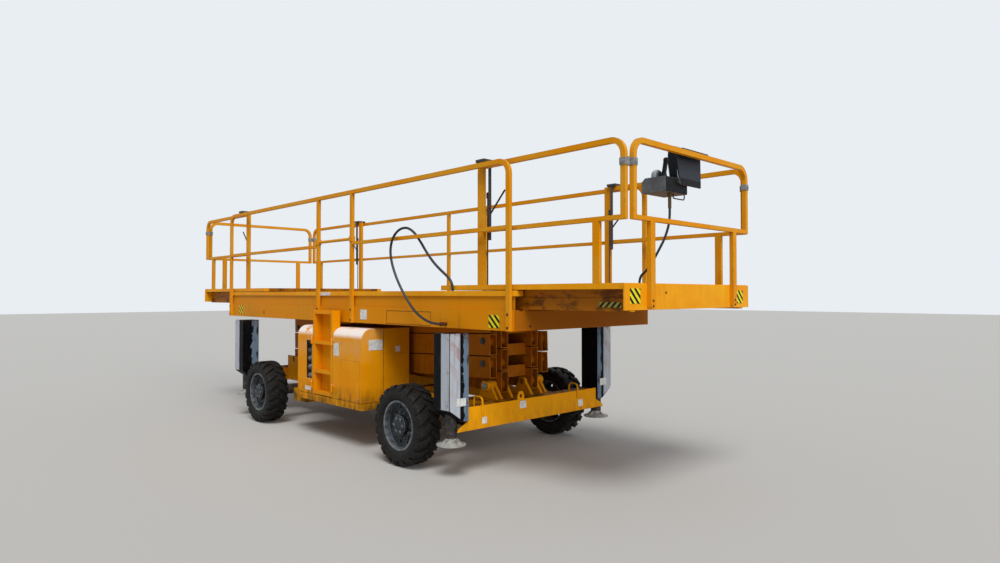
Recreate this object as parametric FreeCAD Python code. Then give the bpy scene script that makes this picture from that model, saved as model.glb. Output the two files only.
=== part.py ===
"""Self-propelled diesel scissor lift with outriggers and two sliding deck extensions.

Frame: X along the machine, positive to the end that carries the control box and the
steered wheels; Y across it, positive to the left; Z up. The origin lies on the ground
under the middle of the wheelbase. Lengths are millimetres.

The machine stands with its lift stack folded, both decks run out and its outriggers up.
"""
import FreeCAD, Part
import math
import os

V = FreeCAD.Vector

# Wheels and axles
AXLE_X = 1531.0
WHEEL_R = 385.0
TYRE_W = 260.0
TYRE_OUTER_Y = 1184.0
RIM_R = 238.0
RIM_WALL = 10.0
BEAD_GAP = 0.3
LUG_H = 22.0
LUG_COUNT = 20
LUG_W = 44.0
HUB_R = 95.0
KINGPIN_Y = 850.0
KINGPIN_D = 50.0
KNUCKLE_H = 130.0
EAR_T = 30.0
AXLE_BEAM = 120.0
STEER_ARM = 170.0
STEER_PIN_D = 26.0
STEER_SLOT_GAP = 2.5
STEER_ROD_D, STEER_BARREL_D, STEER_BARREL_Y = 45.0, 90.0, 260.0
STEER_CLAMP_Y0, STEER_CLAMP_Y1 = 120.0, 180.0
HUB_CASE_D, HUB_CASE_NECK, HUB_CASE_Y0, HUB_CASE_Y1 = 280.0, 120.0, 90.0, 240.0
AXLE_SEAT_Y0, AXLE_SEAT_Y1, AXLE_SEAT_W = 400.0, 480.0, 140.0
FORK_REACH, FORK_ROOT, FORK_W = 110.0, 60.0, 110.0
SPINDLE_D, REAR_SPINDLE_D, SPINDLE_SHORT = 90.0, 130.0, 60.0
KNUCKLE_W, KNUCKLE_IN, KNUCKLE_OUT = 100.0, 50.0, 40.0
STEER_EYE_D, STEER_ARM_W, STEER_ARM_T = 44.0, 30.0, 30.0
RIM_HOLE_R, RIM_HOLE_D, RIM_HOLES = 172.0, 34.0, 10

# Chassis
RAIL_Y0, RAIL_Y1 = 380.0, 500.0
CHASSIS_Z0, CHASSIS_Z1 = 440.0, 590.0
BEAM_X0 = 2056.0
BEAM_TOP = 600.0
PLATE = 10.0
BUMPER_Z0, BUMPER_Z1 = 407.0, 617.0
BUMPER_HALF_LOW, BUMPER_HALF_HIGH = 1040.0, 915.0
HOOP_Y = (-749.0, 598.0)
HOOP_D, HOOP_BEND = 18.0, 40.0
HOOP_SPAN = 200.0
HOOP_Z, HOOP_FOOT_Z = 690.0, 540.0

BEAM_FACE = 2250.0
CROSS_BEAM_X, CROSS_BEAM_W, CROSS_BEAM_H = (-1730.0, -700.0, 700.0, 1730.0), 120.0, 60.0
FOOT_PLATE_X = 1790.0
EYE_PLATE_Y, EYE_PLATE_W, EYE_PLATE_TOP, EYE_PLATE_HOLE = -242.0, 90.0, 695.0, 36.0

# Outriggers
SLEEVE = 220.0
SLEEVE_WALL = 10.0
SLEEVE_X1 = 2276.0
SLEEVE_Y1 = 1145.0
SLEEVE_Z0, SLEEVE_Z1 = 500.0, 1280.0
GUARD_W = 118.0
GUARD_T = 5.0
GUARD_Z0 = 610.0
LEG_D = 110.0
PAD_D = 265.0
PAD_Z = 285.0
PAD_T = 12.0
PAD_RIB_H = 50.0
PAD_RIB_T = 10.0

# Scissor arms
LEVELS = 3
PIN_X = 1910.0
PIN_Z = 724.0
PITCH = 221.7
ARM_H = 210.0
ARM_WALL = 8.0
PIN_OFFSET = 36.0
ARM_END = 100.0
INNER_Y0, INNER_Y1 = 168.0, 263.0
OUTER_Y0, OUTER_Y1 = 324.0, 418.0
PIN_D = 60.0
BORE_GAP = 0.5
BOSS_D = 110.0
ROLLER_D = 90.0
ROLLER_GAP = 0.3
TRACK_X0, TRACK_X1 = -2000.0, -360.0
CROSS_TUBE_X = ((1640.0, -1640.0), (), (-1640.0,))
CROSS_TUBE_W, CROSS_TUBE_H = 90.0, 120.0
END_TUBE_X0, END_TUBE_X1 = 1835.0, 1925.0
END_TUBE_RISE, END_TUBE_H = 61.0, 116.0
END_TUBE_SEAT_H, END_TUBE_GAP = 84.0, 5.5

# Feet that carry the first pair of inner arms
FOOT_WEBS = ((126.0, 160.0), (271.0, 305.0))
FOOT_X0, FOOT_X1 = 1770.0, 2052.0
FOOT_BOSS_D = 96.0
CASTING_Y = 400.0
CASTING_D = 104.0
CASTING_RIB_T = 30.0
GUARD_TOP = 778.0
GUARD_SLOT_X = (-1883.0, -1500.0, -1100.0, -700.0)
GUARD_SLOT_Z, GUARD_SLOT_W, GUARD_SLOT_RISE = 710.0, 40.0, 45.0

# Lift cylinder
BARREL_EYE_X, ROD_EYE_X = 1500.0, -1500.0
EYE_D = 100.0
EYE_W = 90.0
EYE_PIN_D = 50.0
BARREL_D, ROD_D = 130.0, 85.0

# Platform
MAIN_X = 2892.0
MAIN_Y = 966.0
FRAME_Z0 = 1320.0
SIDE_Z1 = 1495.0
END_Z1 = 1487.0
LIP_Z0 = 1611.0
FLOOR_Z = 1659.0
SHEET = 8.0
WEB_T, FLANGE_W = 12.0, 60.0
RECESS = 22.0
BEAM_SLOT_X, BEAM_SLOT_Z, BEAM_SLOT_W, BEAM_SLOT_RISE = -1813.0, 1366.0, 32.0, 30.0
SPINE_Y0, SPINE_Y1 = 470.0, 530.0
SPINE_WALL = 8.0
JOIST_Z0 = 1520.0
JOIST_W = 50.0
JOIST_COUNT = 11
JOIST_INSET = 292.0
RIB_H = 80.0
BRACKET_W, BRACKET_DROP = 75.0, 60.0
TOP_TRACK_Y0, TOP_TRACK_Y1 = 95.0, 160.0
OUTLET_D = 32.0
SLOT_GAP = 8.0

# Guard rails
RAIL_W, RAIL_H = 35.0, 42.0
TOP_Z = 2765.0
RAIL_REACH = TOP_Z - FLOOR_Z
MID_Z = round(FLOOR_Z + 0.494 * RAIL_REACH)
BEND_R = 110.0
POST_BACK, POST_FRONT = -326.0, 409.0
POST_END = 2846.0
COLLAR_H, COLLAR_T = 60.0, 6.0
SEAT = 0.3

# Sliding decks
DECK_Y = 930.0
DECK_X0 = 1888.0
DECK_X1 = 3963.0
DECK_BOTTOM = 1665.0
DECK_TOP = 1710.0
DECK_STROKE = 1050.0
RUNNER_Y0, RUNNER_Y1 = 800.0, 850.0
RUNNER_Z0, RUNNER_Z1 = 1500.0, 1600.0
WEB_Y0, WEB_Y1 = 805.0, 845.0
APRON_Z0, APRON_Z1 = 1512.0, 1706.0
APRON_Y = 944.0
DECK_RIBS, DECK_RIB_PITCH, DECK_RIB_W = 3, 300.0, 40.0
DECK_RIB_X0 = DECK_X1 - 863.0

# Guard rails of the sliding decks
DECK_RAIL_Y = DECK_Y - RAIL_W / 2
DECK_RAIL_LIFT = 5.0
REAR_POST_X, REAR_POST_W = 2435.0, 70.0
FRONT_POST_X, FRONT_POST_W = 3706.0, 60.0
FRONT_RAIL_X = DECK_X1 + PLATE - RAIL_H / 2
END_RAIL_X = DECK_X1 + PLATE + RAIL_W / 2
END_RAIL_Y = 855.0
END_POST_Y = 600.0
CLAMP_Z, CLAMP_H, CLAMP_T = TOP_Z - 0.165 * RAIL_REACH, 52.0, 5.0
CLAMP_BOLT_D = 16.0
STRUT_X, STRUT_D, STRUT_Z = 2505.0, 28.0, FLOOR_Z + 0.4 * RAIL_REACH
BLOCK_X0, BLOCK_X1, BLOCK_H = 2452.0, 2560.0, 25.0
LEVER_D, LEVER_REACH = 16.0, 190.0
LEVER_Z0, LEVER_Z1 = FLOOR_Z + 0.6 * RAIL_REACH, FLOOR_Z + 0.78 * RAIL_REACH
PULL_X, PULL_D, PULL_Z = 2478.0, 12.0, LEVER_Z1

# Side modules
MODULE_X0, MODULE_X1 = -580.0, 800.0
MODULE_Y0, MODULE_YM, MODULE_Y1 = 500.0, 830.0, 1104.0
TRAY_Z0, TRAY_Z1 = 420.0, 490.0
MODULE_Z1 = 1265.0
HOOD_R = 115.0
PILLAR_X0, PILLAR_X1 = -225.0, 215.0
PILLAR_Y = 1000.0
SKIN = 6.0
DOOR_GAP = 6.0
HINGE_D, HINGE_PIN_D = 22.0, 12.0
HINGE_H = 80.0
HINGE_Z = (560.0, 1066.0)
SEAM, SEAM_DEPTH = 4.0, 2.0
APERTURE_X0, APERTURE_X1 = -373.0, -245.0
APERTURE_Z0, APERTURE_Z1 = 664.0, 1100.0
PANEL_X0, PANEL_X1 = 377.0, 769.0
PANEL_Z0, PANEL_Z1 = 486.0 + 16, 924.0
CASE_SEAM_Z = 990.0
REAR_BOX_X, REAR_BOX_Y0, REAR_BOX_Y1 = -880.0, 640.0, 1000.0
REAR_BOX_Z0, REAR_BOX_Z1 = 340.0, 485.0

# Ladder
LADDER_X0, LADDER_X1 = -217.0, 209.0
LADDER_Y0, LADDER_Y1 = 1006.0, 1104.0
LADDER_Z0, LADDER_Z1 = 500.0, 1449.0
STILE_W = 36.0
TREAD_Z = (534.0, 774.0, 1100.0, 1440.0)
TREAD_T = 34.0
LADDER_BACK = 5.0

# Control box
CONTROL_X, CONTROL_W, CONTROL_H = 220.0, 311.0, 120.0
CONTROL_Y = -225.0
CONTROL_GAP = 13.0
CONTROL_DROP = 225.0
CONTROL_FILLET = 8.0
CAP_R, CAP_RISE = 42.0, 25.0
SCREEN_GAP = 43.0
SCREEN_Y0, SCREEN_Y1, SCREEN_LOW_Y1 = -205.0, 190.0, 102.0
SCREEN_H, SCREEN_RISE, SCREEN_T = 315.0, 34.0, 12.0
SCREEN_LEAN = 10.0
BAIL_D = 10.0

SIDES = (("right", -1), ("left", 1))
ENDS = (("front", 1), ("rear", -1))


def box(x0, x1, y0, y1, z0, z1):
    """A block between two values on each axis, in either order."""
    x0, x1 = sorted((x0, x1))
    y0, y1 = sorted((y0, y1))
    return Part.makeBox(x1 - x0, y1 - y0, z1 - z0, V(x0, y0, z0))


def rod(start, end, diameter):
    """A round bar between two points."""
    start, end = V(*start), V(*end)
    along = end - start
    return Part.makeCylinder(diameter / 2, along.Length, start, along)


def prism(points, low, high, axis="y"):
    """A flat outline pushed along one axis from low to high."""
    place = {"x": lambda a, b: V(low, a, b),
             "y": lambda a, b: V(a, low, b),
             "z": lambda a, b: V(a, b, low)}[axis]
    push = {"x": V(high - low, 0, 0), "y": V(0, high - low, 0), "z": V(0, 0, high - low)}[axis]
    corners = [place(*point) for point in points]
    return Part.Face(Part.makePolygon(corners + corners[:1])).extrude(push)


def fuse(shapes):
    """One shape from many, with the seams between flat faces removed."""
    whole = shapes[0] if len(shapes) == 1 else shapes[0].fuse(list(shapes[1:]))
    return whole.removeSplitter()


def mirror(shape, axis):
    """The shape's twin across the machine's middle, left to right or end to end."""
    normal = V(0, 1, 0) if axis == "y" else V(1, 0, 0)
    return shape.mirror(V(0, 0, 0), normal)


def place(shape, side=1, end=1):
    """A shape drawn at front left, moved to the named side and end."""
    if side < 0:
        shape = mirror(shape, "y")
    if end < 0:
        shape = mirror(shape, "x")
    return shape


def path(points, radii):
    """Straight runs through the points, with an arc of the given radius at each bend."""
    points = [V(*point) for point in points]
    edges, start = [], points[0]
    for here, nxt, radius in zip(points[1:-1], points[2:], radii):
        back = (start - here).normalize()
        ahead = (nxt - here).normalize()
        half = back.getAngle(ahead) / 2
        reach = radius / math.tan(half)
        first, last = here + back * reach, here + ahead * reach
        middle = (back + ahead).normalize()
        top = here + middle * (radius / math.sin(half) - radius)
        if (first - start).Length > 1e-6:
            edges.append(Part.LineSegment(start, first).toShape())
        edges.append(Part.Arc(first, top, last).toShape())
        start = last
    edges.append(Part.LineSegment(start, points[-1]).toShape())
    return Part.Wire(edges)


def bar(points, radius, across, width, height):
    """A rectangular rail bent in one plane, width along the plane's normal."""
    spine = path(points, [radius] * (len(points) - 2))
    start = V(*points[0])
    along = (V(*points[1]) - start).normalize()
    across = V(*across).normalize()
    up = along.cross(across)
    a, b = across * (width / 2), up * (height / 2)
    corners = [start + a + b, start - a + b, start - a - b, start + a - b]
    profile = Part.makePolygon(corners + corners[:1])
    return spine.makePipeShell([profile], True, False)


def save(name, shape):
    """Write one node and say how many solids it holds."""
    if not shape.isValid() or not shape.Solids:
        raise ValueError(name + " isn't a valid solid")
    shape.exportStep("parts/" + name + ".step")
    print(name, len(shape.Solids), "solids", round(shape.Volume / 1e9, 5), "m3")


def tyre():
    """A lugged tyre round the Y axis, its outer wall at +Y, centred on the wheel's middle."""
    half = TYRE_W / 2
    tread = WHEEL_R - LUG_H
    outline = [(RIM_R, -half + 25), (RIM_R + 45, -half), (tread - 35, -half + 4),
               (tread, -half + 30), (tread, half - 30), (tread - 35, half - 4),
               (RIM_R + 45, half), (RIM_R, half - 25)]
    corners = [V(radius, y, 0) for radius, y in outline]
    ring = Part.Face(Part.makePolygon(corners + corners[:1])).revolve(V(0, 0, 0), V(0, 1, 0), 360)
    ring.rotate(V(0, 0, 0), V(0, 1, 0), 13.8)
    blank = Part.makeCylinder(WHEEL_R, TYRE_W, V(0, -half, 0), V(0, 1, 0))
    lugs = []
    for number in range(LUG_COUNT):
        side = 1 if number % 2 else -1
        slab = prism([(-LUG_W / 2, 0.0), (LUG_W / 2, 0.0),
                      (LUG_W / 2 + 60, side * (half - 6)), (-LUG_W / 2 + 60, side * (half - 6))],
                     tread - LUG_H, WHEEL_R + LUG_H, "z")
        lug = slab.common(blank)
        lugs.append(lug.rotate(V(0, 0, 0), V(0, 1, 0), number * 360 / LUG_COUNT))
    return fuse([ring] + lugs)


def rim():
    """The wheel's steel dish and hub, with its disc set towards +Y."""
    half = TYRE_W / 2
    outer, inner = RIM_R - BEAD_GAP, RIM_R - RIM_WALL
    outline = [(outer, -half + 20), (outer, half - 20), (outer - 18, half - 20),
               (inner - 8, half - 34), (inner - 10, 50), (150, 30), (HUB_R, 42), (HUB_R, 95),
               (60, 108), (0, 108), (0, -60), (HUB_R, -60), (HUB_R, 10), (150, 14),
               (inner - 12, 30), (inner, 20), (inner, -half + 20)]
    corners = [V(radius, y, 0) for radius, y in outline]
    dish = Part.Face(Part.makePolygon(corners + corners[:1])).revolve(V(0, 0, 0), V(0, 1, 0), 360)
    holes = []
    for step in range(RIM_HOLES):
        angle = 2 * math.pi * step / RIM_HOLES
        x, z = RIM_HOLE_R * math.cos(angle), RIM_HOLE_R * math.sin(angle)
        holes.append(rod((x, -10, z), (x, 60, z), RIM_HOLE_D))
    return dish.cut(holes)


def wheels():
    """Four wheels, each a tyre and a rim on one body."""
    for end_name, end in ENDS:
        for side_name, side in SIDES:
            middle = V(end * AXLE_X, side * (TYRE_OUTER_Y - TYRE_W / 2), WHEEL_R)
            for kind, shape in (("tyre", tyre()), ("rim", rim())):
                if side < 0:
                    shape = mirror(shape, "y")
                shape.translate(middle)
                save(f"{kind}_{end_name}_{side_name}", shape)


SPINDLE_END = TYRE_OUTER_Y - TYRE_W / 2 - SPINDLE_SHORT - BEAD_GAP


def axles():
    """The front axle with its forked ends, its knuckles, and the fixed rear axle."""
    half = AXLE_BEAM / 2
    ear_y = KINGPIN_Y - FORK_REACH
    parts = [box(-half, half, -ear_y, ear_y, WHEEL_R - half, WHEEL_R + half - 5)]
    bulge = Part.makeCone(HUB_CASE_NECK / 2, HUB_CASE_D / 2, HUB_CASE_Y1 - HUB_CASE_Y0,
                          V(0, -HUB_CASE_Y1, WHEEL_R), V(0, 1, 0))
    parts += [bulge, mirror(bulge, "y"), rod((0, -HUB_CASE_Y0, WHEEL_R), (0, HUB_CASE_Y0, WHEEL_R), HUB_CASE_D)]
    for side in (-1, 1):
        parts.append(box(-AXLE_SEAT_W / 2, AXLE_SEAT_W / 2, side * AXLE_SEAT_Y0, side * AXLE_SEAT_Y1,
                         WHEEL_R, CHASSIS_Z0))
    beam = fuse(parts)
    ears, pins = [], []
    tops = WHEEL_R + KNUCKLE_H / 2 + 1, WHEEL_R - KNUCKLE_H / 2 - 1 - EAR_T
    fork = FORK_W / 2
    for side in (-1, 1):
        for low in tops:
            foot, head = (0, side * KINGPIN_Y, low), (0, side * KINGPIN_Y, low + EAR_T)
            ears.append(box(-fork, fork, side * (ear_y - FORK_ROOT), side * KINGPIN_Y, low, low + EAR_T))
            ears.append(rod(foot, head, FORK_W))
            pins.append(rod(foot, head, KINGPIN_D + 2 * BORE_GAP))
        ears.append(box(-fork, fork, side * (ear_y - FORK_ROOT), side * ear_y, tops[1], tops[0] + EAR_T))
    front = fuse([beam] + ears).cut(pins)
    cylinder_x, clamp_half = -STEER_ARM, STEER_BARREL_D / 3
    barrel_y = STEER_BARREL_Y
    cylinder = [rod((cylinder_x, -barrel_y, WHEEL_R), (cylinder_x, barrel_y, WHEEL_R), STEER_BARREL_D)]
    for side in (-1, 1):
        cylinder.append(box(cylinder_x, -half + 5, side * STEER_CLAMP_Y0, side * STEER_CLAMP_Y1,
                            WHEEL_R - clamp_half, WHEEL_R + clamp_half))
    bore = rod((cylinder_x, -KINGPIN_Y, WHEEL_R), (cylinder_x, KINGPIN_Y, WHEEL_R), STEER_ROD_D + 2 * BORE_GAP)
    front = fuse([front] + cylinder).cut(bore)
    front.translate(V(AXLE_X, 0, 0))
    save("front_axle", front)
    for side_name, side in SIDES:
        save("knuckle_" + side_name, place(knuckle(), side))
    save("steering_rod", steering_rod(cylinder_x))
    rear = fuse([beam] + [rod((0, side * (ear_y - 20), WHEEL_R), (0, side * SPINDLE_END, WHEEL_R),
                              REAR_SPINDLE_D) for side in (-1, 1)])
    rear.translate(V(-AXLE_X, 0, 0))
    save("rear_axle", rear)


def knuckle():
    """The left steering knuckle: block, kingpin stubs, spindle and steering arm."""
    low, high, y = WHEEL_R - KNUCKLE_H / 2, WHEEL_R + KNUCKLE_H / 2, KINGPIN_Y
    arm_top = low + STEER_ARM_T
    parts = [box(-KNUCKLE_W / 2, KNUCKLE_W / 2, y - KNUCKLE_IN, y + KNUCKLE_OUT, low, high),
             rod((0, y, low - 1 - EAR_T), (0, y, high + 1 + EAR_T), KINGPIN_D),
             rod((0, y + KNUCKLE_OUT - 10, WHEEL_R), (0, SPINDLE_END, WHEEL_R), SPINDLE_D),
             box(-STEER_ARM, -KNUCKLE_W / 2 + 10, y - STEER_ARM_W / 2, y + STEER_ARM_W / 2, low, arm_top),
             rod((-STEER_ARM, y, low), (-STEER_ARM, y, arm_top), STEER_EYE_D),
             rod((-STEER_ARM, y, low), (-STEER_ARM, y, WHEEL_R + 18), STEER_PIN_D)]
    shape = fuse(parts)
    shape.translate(V(AXLE_X, 0, 0))
    return shape


def steering_rod(cylinder_x):
    """The steering cylinder's through rod, with a slotted eye at each end for the arms' pins."""
    parts = [rod((cylinder_x, -KINGPIN_Y + 40, WHEEL_R), (cylinder_x, KINGPIN_Y - 40, WHEEL_R), STEER_ROD_D)]
    slots = []
    half = STEER_PIN_D / 2 + STEER_SLOT_GAP
    for side in (-1, 1):
        parts.append(box(cylinder_x - 28, cylinder_x + 52, side * (KINGPIN_Y - 45),
                         side * (KINGPIN_Y + half + 10), WHEEL_R - 15, WHEEL_R + 15))
        slots.append(box(cylinder_x - half, cylinder_x + 40, side * (KINGPIN_Y - half),
                         side * (KINGPIN_Y + half), WHEEL_R - 15, WHEEL_R + 15))
    shape = fuse(parts).cut(slots)
    shape.translate(V(AXLE_X, 0, 0))
    return shape


def upright_slot(x, y0, y1, z, width, rise):
    """A round-ended upright slot to cut through a plate that faces sideways."""
    ends = [rod((x, y0, level), (x, y1, level), width) for level in (z, z + rise)]
    return ends[0].fuse([ends[1], box(x - width / 2, x + width / 2, y0, y1, z, z + rise)])


def foot_web(y0, y1, boss_d):
    """A tapered web with a round boss and the hole for the first arms' hinge pin."""
    half = boss_d / 2
    web = prism([(FOOT_X0, CHASSIS_Z1), (PIN_X - half, PIN_Z), (PIN_X + half, PIN_Z), (FOOT_X1, CHASSIS_Z1)],
                y0, y1)
    boss = rod((PIN_X, y0, PIN_Z), (PIN_X, y1, PIN_Z), boss_d)
    return web.fuse(boss).cut(rod((PIN_X, y0 - 1, PIN_Z), (PIN_X, y1 + 1, PIN_Z), PIN_D + 2 * BORE_GAP))


def chassis():
    """Two box rails, the beams that carry the outriggers, the lift's feet and its roller tracks."""
    parts = []
    rail = box(-BEAM_X0, BEAM_X0, RAIL_Y0, RAIL_Y1, CHASSIS_Z0, CHASSIS_Z1)
    rail = rail.cut(box(-BEAM_X0, BEAM_X0, RAIL_Y0 + PLATE, RAIL_Y1 - PLATE,
                        CHASSIS_Z0 + PLATE, CHASSIS_Z1 - PLATE))
    parts += [rail, mirror(rail, "y")]
    inner = SLEEVE_Y1 - SLEEVE
    for end in (-1, 1):
        beam = box(end * BEAM_X0, end * BEAM_FACE, -inner, inner, CHASSIS_Z0, BEAM_TOP)
        parts.append(beam.cut(box(end * (BEAM_X0 + PLATE), end * (BEAM_FACE - PLATE), -inner, inner,
                                  CHASSIS_Z0 + PLATE, BEAM_TOP - PLATE)))
    for x in CROSS_BEAM_X:
        parts.append(box(x - CROSS_BEAM_W / 2, x + CROSS_BEAM_W / 2, -RAIL_Y0, RAIL_Y0,
                         CHASSIS_Z1 - CROSS_BEAM_H, CHASSIS_Z1))
    parts.append(box(FOOT_PLATE_X, BEAM_X0, -RAIL_Y0, RAIL_Y0, CHASSIS_Z1 - PLATE, CHASSIS_Z1))
    for low, high in FOOT_WEBS:
        lug = foot_web(low, high, FOOT_BOSS_D)
        parts += [lug, mirror(lug, "y")]
    rib_y = (FOOT_WEBS[-1][1] + CASTING_Y) / 2
    casting = [rod((PIN_X, FOOT_WEBS[-1][1] + 4, PIN_Z), (PIN_X, CASTING_Y, PIN_Z), CASTING_D),
               foot_web(rib_y - CASTING_RIB_T / 2, rib_y + CASTING_RIB_T / 2, CASTING_D),
               box(FOOT_X0, FOOT_X1, FOOT_WEBS[-1][1] - 4, CASTING_Y, CHASSIS_Z1 - PLATE, CHASSIS_Z1 + PLATE)]
    casting = fuse(casting).cut(rod((PIN_X, FOOT_WEBS[-1][1], PIN_Z), (PIN_X, FOOT_WEBS[-1][1] + 8, PIN_Z),
                                    PIN_D + 2 * BORE_GAP))
    parts += [casting, mirror(casting, "y")]
    track_top = PIN_Z - ROLLER_D / 2 - ROLLER_GAP
    track = box(TRACK_X0, TRACK_X1, 425, RAIL_Y1, CHASSIS_Z1, track_top)
    track = track.cut(box(TRACK_X0, TRACK_X1, 437, RAIL_Y1 - 12, CHASSIS_Z1, track_top - 12))
    guard = box(-BEAM_X0, TRACK_X1, RAIL_Y1 - SHEET, RAIL_Y1, CHASSIS_Z1, GUARD_TOP)
    guard = guard.cut([upright_slot(x, RAIL_Y1 - 2 * SHEET, RAIL_Y1 + SHEET, GUARD_SLOT_Z, GUARD_SLOT_W,
                                    GUARD_SLOT_RISE) for x in GUARD_SLOT_X])
    for piece in (track, guard):
        parts += [piece, mirror(piece, "y")]
    save("chassis_frame", fuse(parts))


def bumpers():
    """End plates across the chassis, each with two tie-down hoops over its top edge and an eye plate."""
    face = BEAM_FACE
    outline = [(-BUMPER_HALF_LOW, BUMPER_Z0), (BUMPER_HALF_LOW, BUMPER_Z0), (BUMPER_HALF_LOW - 20, 440),
               (BUMPER_HALF_HIGH, SLEEVE_Z0 - 5), (BUMPER_HALF_HIGH, BUMPER_Z1),
               (-BUMPER_HALF_HIGH, BUMPER_Z1), (-BUMPER_HALF_HIGH, SLEEVE_Z0 - 5),
               (-BUMPER_HALF_LOW + 20, 440)]
    parts = [prism(outline, face, face + PLATE, "x")]
    back, front = face - HOOP_SPAN / 2, face + PLATE + HOOP_D / 2 - 3
    for y in HOOP_Y:
        hoop = path([(back, y, BEAM_TOP), (back, y, HOOP_Z), (front, y, HOOP_Z), (front, y, HOOP_FOOT_Z)],
                    [HOOP_BEND, HOOP_BEND])
        ring = Part.Wire([Part.Circle(V(back, y, BEAM_TOP), V(0, 0, 1), HOOP_D / 2).toShape()])
        parts.append(hoop.makePipeShell([ring], True, False))
    half = EYE_PLATE_W / 2
    eye = prism([(EYE_PLATE_Y - half, BUMPER_Z1 - 1), (EYE_PLATE_Y - half, EYE_PLATE_TOP - half),
                 (EYE_PLATE_Y - half / 2, EYE_PLATE_TOP), (EYE_PLATE_Y + half / 2, EYE_PLATE_TOP),
                 (EYE_PLATE_Y + half, EYE_PLATE_TOP - half), (EYE_PLATE_Y + half, BUMPER_Z1 - 1)],
                face, face + PLATE, "x")
    hole_z = EYE_PLATE_TOP - half
    parts.append(eye.cut(rod((face - 1, EYE_PLATE_Y, hole_z), (face + PLATE + 1, EYE_PLATE_Y, hole_z),
                             EYE_PLATE_HOLE)))
    bumper = fuse(parts)
    save("bumpers", Part.Compound([place(bumper, 1, end) for _, end in ENDS]))


def outriggers():
    """Four fixed sleeves with striped corner guards, and the jack legs that slide in them."""
    inner = SLEEVE_Y1 - SLEEVE
    x0 = SLEEVE_X1 - SLEEVE
    middle_x, middle_y = SLEEVE_X1 - SLEEVE / 2, SLEEVE_Y1 - SLEEVE / 2
    shell = prism([(inner, SLEEVE_Z0), (SLEEVE_Y1 - GUARD_W - 20, SLEEVE_Z0), (SLEEVE_Y1, GUARD_Z0 - 10),
                   (SLEEVE_Y1, SLEEVE_Z1), (inner, SLEEVE_Z1)], x0, SLEEVE_X1, "x")
    wall = SLEEVE_WALL
    shell = shell.cut(box(x0 + wall, SLEEVE_X1 - wall, inner + wall, SLEEVE_Y1 - wall - 20,
                          GUARD_Z0, SLEEVE_Z1 - wall))
    bore = rod((middle_x, middle_y, SLEEVE_Z0 - 1), (middle_x, middle_y, GUARD_Z0 + 1),
               LEG_D + 2 * BORE_GAP)
    shell = shell.cut(bore)
    guard = box(x0 + 107, SLEEVE_X1 + GUARD_T, SLEEVE_Y1, SLEEVE_Y1 + GUARD_T, GUARD_Z0, SLEEVE_Z1)
    face = prism([(SLEEVE_Y1 - GUARD_W, SLEEVE_Z0 + 30), (SLEEVE_Y1, GUARD_Z0), (SLEEVE_Y1, SLEEVE_Z1),
                  (SLEEVE_Y1 - GUARD_W, SLEEVE_Z1)], SLEEVE_X1, SLEEVE_X1 + GUARD_T, "x")
    guard = fuse([guard, face])
    foot_z = PAD_Z + PAD_T
    leg = [rod((middle_x, middle_y, foot_z + PAD_RIB_H / 2), (middle_x, middle_y, SLEEVE_Z1 - 60), LEG_D),
           rod((middle_x, middle_y, PAD_Z), (middle_x, middle_y, foot_z), PAD_D),
           Part.makeCone(PAD_D / 2 - PAD_T, LEG_D / 2, PAD_RIB_H / 2, V(middle_x, middle_y, foot_z))]
    rib = [(-PAD_D / 2 + PAD_T, foot_z), (PAD_D / 2 - PAD_T, foot_z),
           (LEG_D / 2, foot_z + PAD_RIB_H), (-LEG_D / 2, foot_z + PAD_RIB_H)]
    leg.append(prism([(middle_x + across, z) for across, z in rib],
                     middle_y - PAD_RIB_T / 2, middle_y + PAD_RIB_T / 2))
    leg.append(prism([(middle_y + across, z) for across, z in rib],
                     middle_x - PAD_RIB_T / 2, middle_x + PAD_RIB_T / 2, "x"))
    leg = fuse(leg)
    for end_name, end in ENDS:
        for side_name, side in SIDES:
            save(f"outrigger_leg_{end_name}_{side_name}", place(leg, side, end))
    for name, shape in (("outrigger_sleeves", shell), ("outrigger_guards", guard)):
        save(name, Part.Compound([place(shape, side, end) for _, side in SIDES for _, end in ENDS]))


def pin_z(level):
    """Height of the pins at the joint below the given level, counted from the chassis."""
    return PIN_Z + level * PITCH


def arm_box(level, rises_to, y0, y1):
    """One hollow arm at rest, between its pins, rising to the front (+1) or to the rear (-1)."""
    low_z = pin_z(level) + PIN_OFFSET
    high_z = pin_z(level + 1) - PIN_OFFSET
    slope = math.atan2(high_z - low_z, 2 * PIN_X)
    middle_z = (low_z + high_z) / 2
    half = PIN_X / math.cos(slope) + ARM_END
    tube = box(-half, half, y0, y1, -ARM_H / 2, ARM_H / 2)
    hollow = box(-half, half, y0 + ARM_WALL, y1 - ARM_WALL, -ARM_H / 2 + ARM_WALL, ARM_H / 2 - ARM_WALL)
    tube = tube.cut(hollow)
    tube = tube.rotate(V(0, 0, 0), V(0, 1, 0), -math.degrees(slope) * rises_to)
    tube.translate(V(0, 0, middle_z))
    return tube


def arm_pins(level, rises_to):
    """The lower, middle and upper pin centres of one arm, as x and z."""
    low, high = pin_z(level), pin_z(level + 1)
    return [(-rises_to * PIN_X, low), (0.0, (low + high) / 2), (rises_to * PIN_X, high)]


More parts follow.
